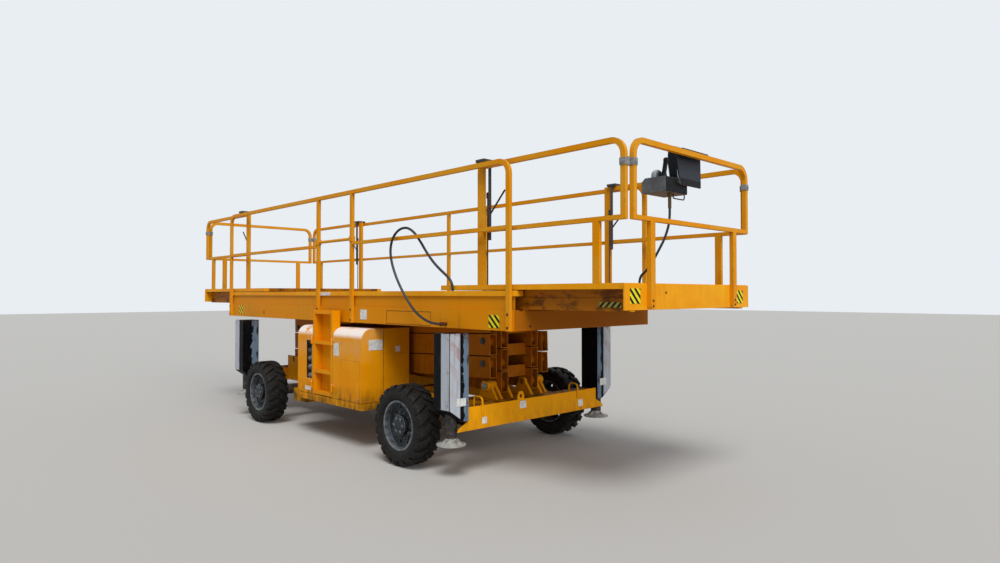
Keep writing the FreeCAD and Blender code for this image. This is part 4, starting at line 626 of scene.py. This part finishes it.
def count_triangles(piece):
    """How many triangles a piece's mesh has."""
    return sum(len(face.vertices) - 2 for face in piece.data.polygons)


print("trees are turned into plain meshes from here on")

# %% [markdown]
# ## Tyres
# Rough-ground tyres have a rounded carcass and two rows of deep chevron lugs, set half a pitch
# apart, that wrap over the shoulders. The carcass is a profile spun round the axle. One lug is
# modelled, and a tree repeats it round the wheel. The lugs reach as far as the frame's tyre does,
# to within a millimetre.

# %% Tyres
LUGS, CARCASS_STEPS = 20, 96
LUG_REACH, LUG_SINK, CARCASS_TOP, LUG_FOOT, LUG_EDGE = 0.999, 0.03, 0.925, 1.12, 0.003
CARCASS = ((0.620, -0.80), (0.665, -0.95), (0.760, -1.00), (0.850, -0.985), (0.905, -0.90), (0.928, -0.72),
           (0.938, -0.35), (0.940, 0.0), (0.938, 0.35), (0.928, 0.72), (0.905, 0.90), (0.850, 0.985),
           (0.760, 1.00), (0.665, 0.95), (0.620, 0.80))
LUG_STATIONS = ((0.03, 0.997, 0.055, 0.00), (0.28, 1.000, 0.066, 0.05), (0.58, 0.999, 0.078, 0.105),
                (0.82, 0.988, 0.086, 0.14), (0.95, 0.955, 0.088, 0.155), (0.985, 0.890, 0.080, 0.16))


def spin(points, segments, centre):
    """A closed profile of (radius, y) points spun round the Y axis through centre."""
    bm = bmesh.new()
    rings = []
    for step in range(segments):
        angle = 2 * math.pi * step / segments
        rings.append([bm.verts.new(centre + Vector((r * math.cos(angle), y, r * math.sin(angle))))
                      for r, y in points])
    for ring, following in zip(rings, rings[1:] + rings[:1]):
        for index in range(len(points)):
            after = (index + 1) % len(points)
            face = bm.faces.new((ring[index], ring[after], following[after], following[index]))
            face.smooth = True
    bmesh.ops.recalc_face_normals(bm, faces=bm.faces)
    mesh = bpy.data.meshes.new("spun")
    bm.to_mesh(mesh)
    bm.free()
    return mesh


def lug_mesh(radius, half, side):
    """One chevron lug from the tread's middle over the shoulder on one side."""
    bm = bmesh.new()
    rows = []
    for share, top, wide, swept in LUG_STATIONS:
        y, base, foot = side * share * half, min(top - LUG_SINK, CARCASS_TOP), wide * LUG_FOOT
        corners = ((swept - foot, base), (swept - wide, top), (swept + wide, top), (swept + foot, base))
        rows.append([bm.verts.new((x * radius, y, math.sqrt(reach * reach - x * x) * radius))
                     for x, reach in corners])
    for row, following in zip(rows, rows[1:]):
        for index in range(4):
            after = (index + 1) % 4
            bm.faces.new((row[index], row[after], following[after], following[index]))
    bm.faces.new(rows[0])
    bm.faces.new(rows[-1][::-1])
    bmesh.ops.recalc_face_normals(bm, faces=bm.faces)
    bmesh.ops.bevel(bm, geom=bm.edges[:], offset=LUG_EDGE, segments=1, affect="EDGES")
    mesh = bpy.data.meshes.new("lug")
    bm.to_mesh(mesh)
    bm.free()
    return mesh


ring_tree, given = new_tree("copies round an axle", (
    ("Copies", "NodeSocketInt"), ("Phase", "NodeSocketFloat"), ("Centre", "NodeSocketVector"),
    ("Material", "NodeSocketMaterial")))
spots = add(ring_tree, "GeometryNodePoints", {"Count": given["Copies"]})
pitch = add(ring_tree, "ShaderNodeMath", {0: 2 * math.pi, 1: given["Copies"]}, operation="DIVIDE")
number = add(ring_tree, "ShaderNodeMath", {0: add(ring_tree, "GeometryNodeInputIndex").outputs[0],
                                           1: given["Phase"]}, operation="ADD")
turn = add(ring_tree, "ShaderNodeMath", {0: number.outputs[0], 1: pitch.outputs[0]}, operation="MULTIPLY")
turned = add(ring_tree, "ShaderNodeCombineXYZ", {"Y": turn.outputs[0]})
copies = add(ring_tree, "GeometryNodeInstanceOnPoints", {
    "Points": spots.outputs[0], "Instance": given["Geometry"], "Rotation": turned.outputs[0]})
moved = add(ring_tree, "GeometryNodeTransform", {"Geometry": copies.outputs[0],
                                                 "Translation": given["Centre"]})
end_tree(ring_tree, moved.outputs[0])


def join(name, pieces, body):
    """Several pieces as one mesh on one body."""
    bm = bmesh.new()
    for piece in pieces:
        bm.from_mesh(piece.data)
    mesh = bpy.data.meshes.new(name)
    bm.to_mesh(mesh)
    bm.free()
    for material in pieces[0].data.materials:
        mesh.materials.append(material)
    for piece in pieces:
        bpy.data.objects.remove(piece)
    joined = new_piece(name, mesh)
    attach(joined, body)
    return joined


WHEELS = (("front_right", -1), ("front_left", 1), ("rear_right", -1), ("rear_left", 1))
for wheel, side in WHEELS:
    low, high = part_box("tyre_" + wheel)
    centre, radius, half = (low + high) / 2, (high.z - low.z) / 2, (high.y - low.y) / 2
    profile = [(r * radius, y * half) for r, y in CARCASS]
    carcass = new_piece("carcass_" + wheel, spin(profile, CARCASS_STEPS, centre))
    carcass.data.materials.append(tyre_rubber)
    rows = [grow(f"lugs_{wheel}_{row}", lug_mesh(radius * LUG_REACH, half, row), ring_tree,
                 "wheel_" + wheel,
                 {"Copies": LUGS, "Phase": 0.25 * row, "Centre": centre, "Material": tyre_rubber})
            for row in (-1, 1)]
    tyre = join("lugged_tyre_" + wheel, [carcass] + rows, "wheel_" + wheel)
    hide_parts("tyre_" + wheel)
print("each tyre has", 2 * LUGS, "lugs and", count_triangles(tyre), "triangles")

# %% [markdown]
# ## Bolts
# Hex bolts hold the wheels, posts, plates and guards. Their places are points that carry the way
# each bolt faces. One tree puts a six-sided head on a round washer at each point, turned to face
# outwards, at the sizes given in its inputs.

# %% Bolts
WASHER_SHARE, CORNER_SHARE, WASHER_T = 0.85, 0.577, 0.005

bolt_tree, given = new_tree("hex bolts at points", (
    ("Across", "NodeSocketFloat"), ("Height", "NodeSocketFloat"), ("Material", "NodeSocketMaterial")))
washer_size = add(bolt_tree, "ShaderNodeMath", {0: given["Across"], 1: WASHER_SHARE}, operation="MULTIPLY")
head_size = add(bolt_tree, "ShaderNodeMath", {0: given["Across"], 1: CORNER_SHARE}, operation="MULTIPLY")
washer = add(bolt_tree, "GeometryNodeMeshCylinder", {"Vertices": 14, "Radius": washer_size.outputs[0],
                                                     "Depth": WASHER_T})
head = add(bolt_tree, "GeometryNodeMeshCylinder", {"Vertices": 6, "Radius": head_size.outputs[0],
                                                   "Depth": given["Height"]})
lift_head = add(bolt_tree, "ShaderNodeCombineXYZ", {"Z": add(bolt_tree, "ShaderNodeMath", {
    0: given["Height"], 1: 0.5}, operation="MULTIPLY").outputs[0]})
raised = add(bolt_tree, "GeometryNodeTransform", {"Geometry": head.outputs["Mesh"],
                                                  "Translation": lift_head.outputs[0]})
bolt = add(bolt_tree, "GeometryNodeJoinGeometry")
bolt_tree.links.new(washer.outputs["Mesh"], bolt.inputs[0])
bolt_tree.links.new(raised.outputs[0], bolt.inputs[0])
outwards = add(bolt_tree, "GeometryNodeInputNamedAttribute", {"Name": "facing"}, data_type="FLOAT_VECTOR")
aligned = add(bolt_tree, "FunctionNodeAlignRotationToVector", {"Vector": outwards.outputs[0]}, axis="Z")
copies = add(bolt_tree, "GeometryNodeInstanceOnPoints", {
    "Points": given["Geometry"], "Instance": bolt.outputs[0], "Rotation": aligned.outputs[0]})
end_tree(bolt_tree, copies.outputs[0])


def bolts(name, places, body, across=0.024, height=0.014, material=galvanised):
    """Hex bolts at (point, facing) places, as one piece on one body."""
    seed = bpy.data.meshes.new(name)
    seed.from_pydata([place for place, _ in places], [], [])
    ways = seed.attributes.new("facing", "FLOAT_VECTOR", "POINT")
    for item, (_, way) in zip(ways.data, places):
        item.vector = way
    grow(name, seed, bolt_tree, body, {"Across": across, "Height": height, "Material": material})


# Each circle's name, count, radius, distance out of the tyre's middle, width across and height.
CIRCLES = (("wheel_nuts_", 10, 0.122, 0.040, 0.030, 0.022), ("hub_bolts_", 6, 0.066, 0.106, 0.018, 0.010))
for wheel, side in WHEELS:
    centre, middle = (sum(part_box(part + wheel), Vector()) / 2 for part in ("rim_", "tyre_"))
    for name, count, circle, out, across, height in CIRCLES:
        angles = [2 * math.pi * number / count for number in range(count)]
        places = [(Vector((centre.x + circle * math.cos(angle), middle.y + side * out,
                           centre.z + circle * math.sin(angle))), (0, side, 0)) for angle in angles]
        bolts(name + wheel, places, "wheel_" + wheel, across, height, rim_paint)
print("bolted", len(WHEELS), "wheels with", CIRCLES[0][1], "nuts each")

# %% [markdown]
# ## Film and tags
# The machine carries small things that were fixed on last: hazard film at the corners, plain white
# film and plain tags. They are thin blocks laid on the steel, listed by the body that carries them:
# the axis across the block, the level of the steel on that axis, its width and its height.

# %% Film and tags
FILM = 0.0015
APRON_FACE, BEAM_FACE, BUMPER_FACE = 3.973, 0.966, 2.260
HOOD_FACE, HOOD_END, DECK_SIDE = 1.104, 0.800, 0.850


def hazard(name, band_mm, yellow, lean, worn):
    """Film printed with black and yellow bands that lean one way or the other."""
    material, tree = new_material(name)
    colour = blend(tree, stripes(tree, band_mm, (1, 1, lean)), yellow, "#0E0F0B")
    colour = tint(tree, colour, "#8C6A2A", patches(tree, 18, 0.5, 0.72), worn)
    close(tree, colour, 0.4, patches(tree, 4, 0.3, 0.8), bump_mm=0.2, shine=0.12)
    return material


hazard_film = hazard("printed_hazard_film", 23, "#EFE01C", 1, 0.3)
faded_film = hazard("faded_hazard_film", 19, "#A8A24A", -1, 0.6)

white_film, tree = new_material("printed_white_film")
colour = blend(tree, patches(tree, 40, 0.4, 0.7), "#E2E2E0", "#C2C0BA")
colour = tint(tree, colour, "#8A7A60", patches(tree, 9, 0.62, 0.7), 0.7)
close(tree, colour, 0.45, patches(tree, 5, 0.3, 0.8), bump_mm=0.2, shine=0.3)

HAZARD = {
    "front_deck": [("X", APRON_FACE, (-0.876, -0.747), (1.559, 1.670)),
                   ("X", APRON_FACE, (0.726, 0.837), (1.548, 1.660))],
    "rear_deck": [("X", -APRON_FACE, (-0.837, -0.726), (1.548, 1.660)),
                  ("X", -APRON_FACE, (0.747, 0.876), (1.559, 1.670))],
    "platform": [("Y", -BEAM_FACE, (2.582, 2.715), (1.341, 1.450)),
                 ("Y", -BEAM_FACE, (-2.597, -2.495), (1.354, 1.478)),
                 ("Y", BEAM_FACE, (2.495, 2.597), (1.354, 1.478)),
                 ("Y", BEAM_FACE, (-2.715, -2.582), (1.341, 1.450))],
}
FADED = {"front_deck": [("Y", -DECK_SIDE, (3.681, 3.880), (1.530, 1.570))]}
WHITE = {
    "platform": [("Y", -BEAM_FACE, (0.552, 0.681), (1.359, 1.464)),
                 ("Y", -BEAM_FACE, (-0.330, -0.079), (1.613, 1.650))],
    "chassis": [("X", GUARD_X, (-1.070, -0.961), (0.640, 0.709)),
                ("X", GUARD_X, (0.961, 1.070), (0.640, 0.714)),
                ("X", BUMPER_FACE, (-0.746, -0.688), (0.447, 0.507)),
                ("X", BUMPER_FACE, (0.617, 0.691), (0.449, 0.520)),
                ("X", BUMPER_FACE, (-0.257, -0.171), (0.530, 0.600)),
                ("X", HOOD_END, (-0.680, -0.623), (1.011, 1.072))],
    "hood_front_right": [("Y", -HOOD_FACE, (0.243, 0.348), (0.960, 1.097)),
                         ("X", HOOD_END, (-1.016, -0.845), (1.040, 1.150))],
    "hood_rear_right": [("Y", -HOOD_FACE, (-0.398, -0.261), (0.528, 0.573))],
}


def block(name, body, boxes, material):
    """Small solid blocks, each given by two corners, as one piece on one body."""
    bm = bmesh.new()
    for low, high in boxes:
        low, high = Vector(map(min, low, high)), Vector(map(max, low, high))
        shift = Matrix.Translation((low + high) / 2) @ Matrix.Diagonal((*(high - low), 1.0))
        bmesh.ops.create_cube(bm, size=1.0, matrix=shift)
    mesh = bpy.data.meshes.new(name)
    bm.to_mesh(mesh)
    bm.free()
    mesh.materials.append(material)
    piece = new_piece(name, mesh)
    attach(piece, body)


def film(name, body, places, material):
    """Thin blocks laid on the steel of one body, each facing outwards along its axis."""
    boxes = []
    for axis, level, wide, tall in places:
        depth = (level - FILM, level + FILM)
        span_x, span_y = (depth, wide) if axis == "X" else (wide, depth)
        boxes.append(((span_x[0], span_y[0], tall[0]), (span_x[1], span_y[1], tall[1])))
    block(name, body, boxes, material)


for kind, table, material in (("hazard_film", HAZARD, hazard_film), ("faded_film", FADED, faded_film),
                              ("white_film", WHITE, white_film)):
    for body, places in table.items():
        film(f"{kind}_{body}", body, places, material)
hazards, plates = (sum(len(places) for places in table.values()) for table in (HAZARD, WHITE))
print("laid", hazards, "hazard films and", plates, "plates")

# %% [markdown]
# ## Bolts, straps and a patch
# Every joint of the frame shows its fasteners: bolts through the posts' feet and clamps, hex heads
# on the pins, screws in guards and hoods. A strap closes each clamp. A plate welded over the side beam
# shows its seam, a black block paints the shade inside a slot near the beam's end, and two small dark heads
# paint the shade in open bolt holes.

# %% Bolts on posts, clamps, pins and frame
PINS = {1: ((0.0, 0.8349), (1.91, 0.9457)), 2: ((-1.91, 0.9457), (0.0, 1.0566), (1.91, 1.1674)),
        3: ((-1.91, 1.1674), (0.0, 1.2783))}
PIN_END_Y, FOOT_PIN = 0.426, (1.91, 0.400, 0.724)
END_POST_Y, END_ROWS, POST_X, POST_ROWS = 0.630, (1.54, 1.58), (-2.846, -0.326, 0.409, 2.846), (1.35, 1.46)
CLAMP_DROP, CLAMP_Y, CLAMP_SIDE_X, CLAMP_SIDE_Y = 0.2125, 0.855, 3.952, 0.935
STRAP_X, STRAP_Y, STRAP_HALF_Z = (3.966, 3.980), (0.876, 0.895), 0.022
GUARD_ROWS, SCREW_IN = (0.66, 0.95, 1.24), 0.020
WELD, PATCH_X, PATCH_Z = 0.004, (1.050, 1.780), (1.332, 1.461)
SLOT = ((-1.830, -0.960, 1.364), (-1.796, -0.955, 1.398))
ENDS, SIDES = (("front", 1), ("rear", -1)), (-1, 1)

for end, way in ENDS:
    end_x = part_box(end + "_end_rail")[way > 0].x
    places = [((end_x, side * END_POST_Y, z), (way, 0, 0)) for side in SIDES for z in END_ROWS]
    bolts(end + "_post_bolts", places, end + "_deck", 0.011, 0.006, rusty)
    low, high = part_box(end + "_deck_latch")
    clamp_x, clamp_z = (low, high)[way > 0].x, high.z - CLAMP_DROP
    places = [((clamp_x, side * CLAMP_Y, clamp_z), (way, 0, 0)) for side in SIDES]
    places += [((way * CLAMP_SIDE_X, side * CLAMP_SIDE_Y, clamp_z), (0, side, 0)) for side in SIDES]
    bolts(end + "_clamp_bolts", places, end + "_deck", 0.022, 0.010, latch_steel)
rail_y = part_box("main_rail_left")[1].y
places = [((x, side * rail_y, z), (0, side, 0)) for x in POST_X for side in SIDES for z in POST_ROWS]
bolts("rail_bolts", places, "platform", 0.013, 0.007, rusty)
for level, pins in PINS.items():
    places = [((x, side * PIN_END_Y, z), (0, side, 0)) for x, z in pins for side in SIDES]
    bolts(f"pin_heads_{level}", places, f"outer_arms_{level}", 0.040, 0.012, dark_metal)
x, y, z = FOOT_PIN
places = [((x, side * y, z), (0, side, 0)) for side in SIDES]
bolts("foot_bolts", places, "chassis", 0.042, 0.014)
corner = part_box("outrigger_guards")[1]
places = [((way * (corner.x - SCREW_IN), side * corner.y, z), (0, side, 0))
          for way in SIDES for side in SIDES for z in GUARD_ROWS]
bolts("guard_screws", places, "chassis", 0.012, 0.006)
# Painted shade: the second beam head and the apron head are small dark heads that stand for the shade in
# open bolt holes; the first beam head is a bolt.
bolts("beam_bolts", [((2.855, -BEAM_FACE, 1.363), (0, -1, 0)), ((2.892, -0.777, 1.358), (1, 0, 0))],
      "platform", 0.014, 0.008, rusty)
bolts("apron_bolt", [((3.971, -0.405, 1.640), (1, 0, 0))], "front_deck", 0.013, 0.006, rusty)
bolts("hood_screws", [((0.380, -HOOD_FACE, 1.101), (0, -1, 0)), ((0.740, -HOOD_FACE, 0.530), (0, -1, 0))],
      "hood_front_right", 0.012, 0.006)
for end, way in ENDS:
    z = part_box(end + "_deck_latch")[1].z - CLAMP_DROP
    straps = [((way * STRAP_X[0], side * STRAP_Y[0], z - STRAP_HALF_Z),
               (way * STRAP_X[1], side * STRAP_Y[1], z + STRAP_HALF_Z)) for side in SIDES]
    block(end + "_clamp_straps", end + "_deck", straps, latch_steel)
near_y, far_y = -BEAM_FACE - FILM, -BEAM_FACE + FILM
seams = [((x - WELD / 2, near_y, PATCH_Z[0]), (x + WELD / 2, far_y, PATCH_Z[1])) for x in PATCH_X]
seams += [((PATCH_X[0], near_y, z - WELD / 2), (PATCH_X[1], far_y, z + WELD / 2)) for z in PATCH_Z]
block("patch_weld", "platform", seams, rusty)
# Painted shade: a black block stands for the shade inside the slot.
block("slot_shadow", "platform", [SLOT], hose_rubber)
print("bolts, pin heads, clamp straps and the patch are on")

# %% [markdown]
# ## The stage
# A plain pale floor and an even sky leave the colours alone: one broad soft sun from above and
# behind the camera, a bright cloud lower on the right that opens up the end faces, and a grey-white
# world that fills the shade. The camera, and mirrors, see the world as a clean pale backdrop.

# %% Floor, light and world
FLOOR_HALF = 60.0
SKY_FILL, BACKDROP = 0.38, 1.0


def soft_sun(name, strength, spread_deg, towards):
    """A broad sun that shines in the given direction."""
    lamp = bpy.data.objects.new(name, bpy.data.lights.new(name, "SUN"))
    bpy.context.scene.collection.objects.link(lamp)
    lamp.data.energy, lamp.data.angle = strength, math.radians(spread_deg)
    lamp.rotation_euler = Vector(towards).to_track_quat("-Z", "Y").to_euler()


floor_mesh = bpy.data.meshes.new("floor")
corners = [(x * FLOOR_HALF, y * FLOOR_HALF, 0) for x, y in ((-1, -1), (1, -1), (1, 1), (-1, 1))]
floor_mesh.from_pydata(corners, [], [(0, 1, 2, 3)])
floor = new_piece("floor", floor_mesh)
plaster, tree = new_material("pale_studio_floor")
close(tree, "#BDBAB5", 0.9)
floor.data.materials.append(plaster)
floor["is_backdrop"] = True

soft_sun("sun", 2.1, 26, (-0.38, 0.36, -0.85))
soft_sun("bright_cloud", 1.0, 30, (-0.90, 0.12, -0.36))

world = bpy.data.worlds.new("pale sky")
bpy.context.scene.world = world
world.use_nodes = True
sky = world.node_tree
sky.nodes.clear()
rays = add(sky, "ShaderNodeLightPath").outputs
mirrored = maths(sky, "MAXIMUM", rays["Is Glossy Ray"], rays["Is Transmission Ray"])
seen = maths(sky, "MAXIMUM", rays["Is Camera Ray"], mirrored)
soft = add(sky, "ShaderNodeBackground", {"Color": linear("#E3EBF4"), "Strength": SKY_FILL})
clear = add(sky, "ShaderNodeBackground", {"Color": linear("#E9EEF3"), "Strength": BACKDROP})
both = add(sky, "ShaderNodeMixShader", {0: seen, 1: soft.outputs[0], 2: clear.outputs[0]})
add(sky, "ShaderNodeOutputWorld", {"Surface": both.outputs[0]})
bpy.context.scene.view_settings.view_transform = "Standard"
print("sun and sky are up")

# %% [markdown]
# ## Keep the sizes and finish
# The dressed machine must stay inside the frame's box, apart from a little. Its box is measured
# and printed.

# %% Sizes and finish
low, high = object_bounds()
print("dressed size", [round(v, 3) for v in high - low])
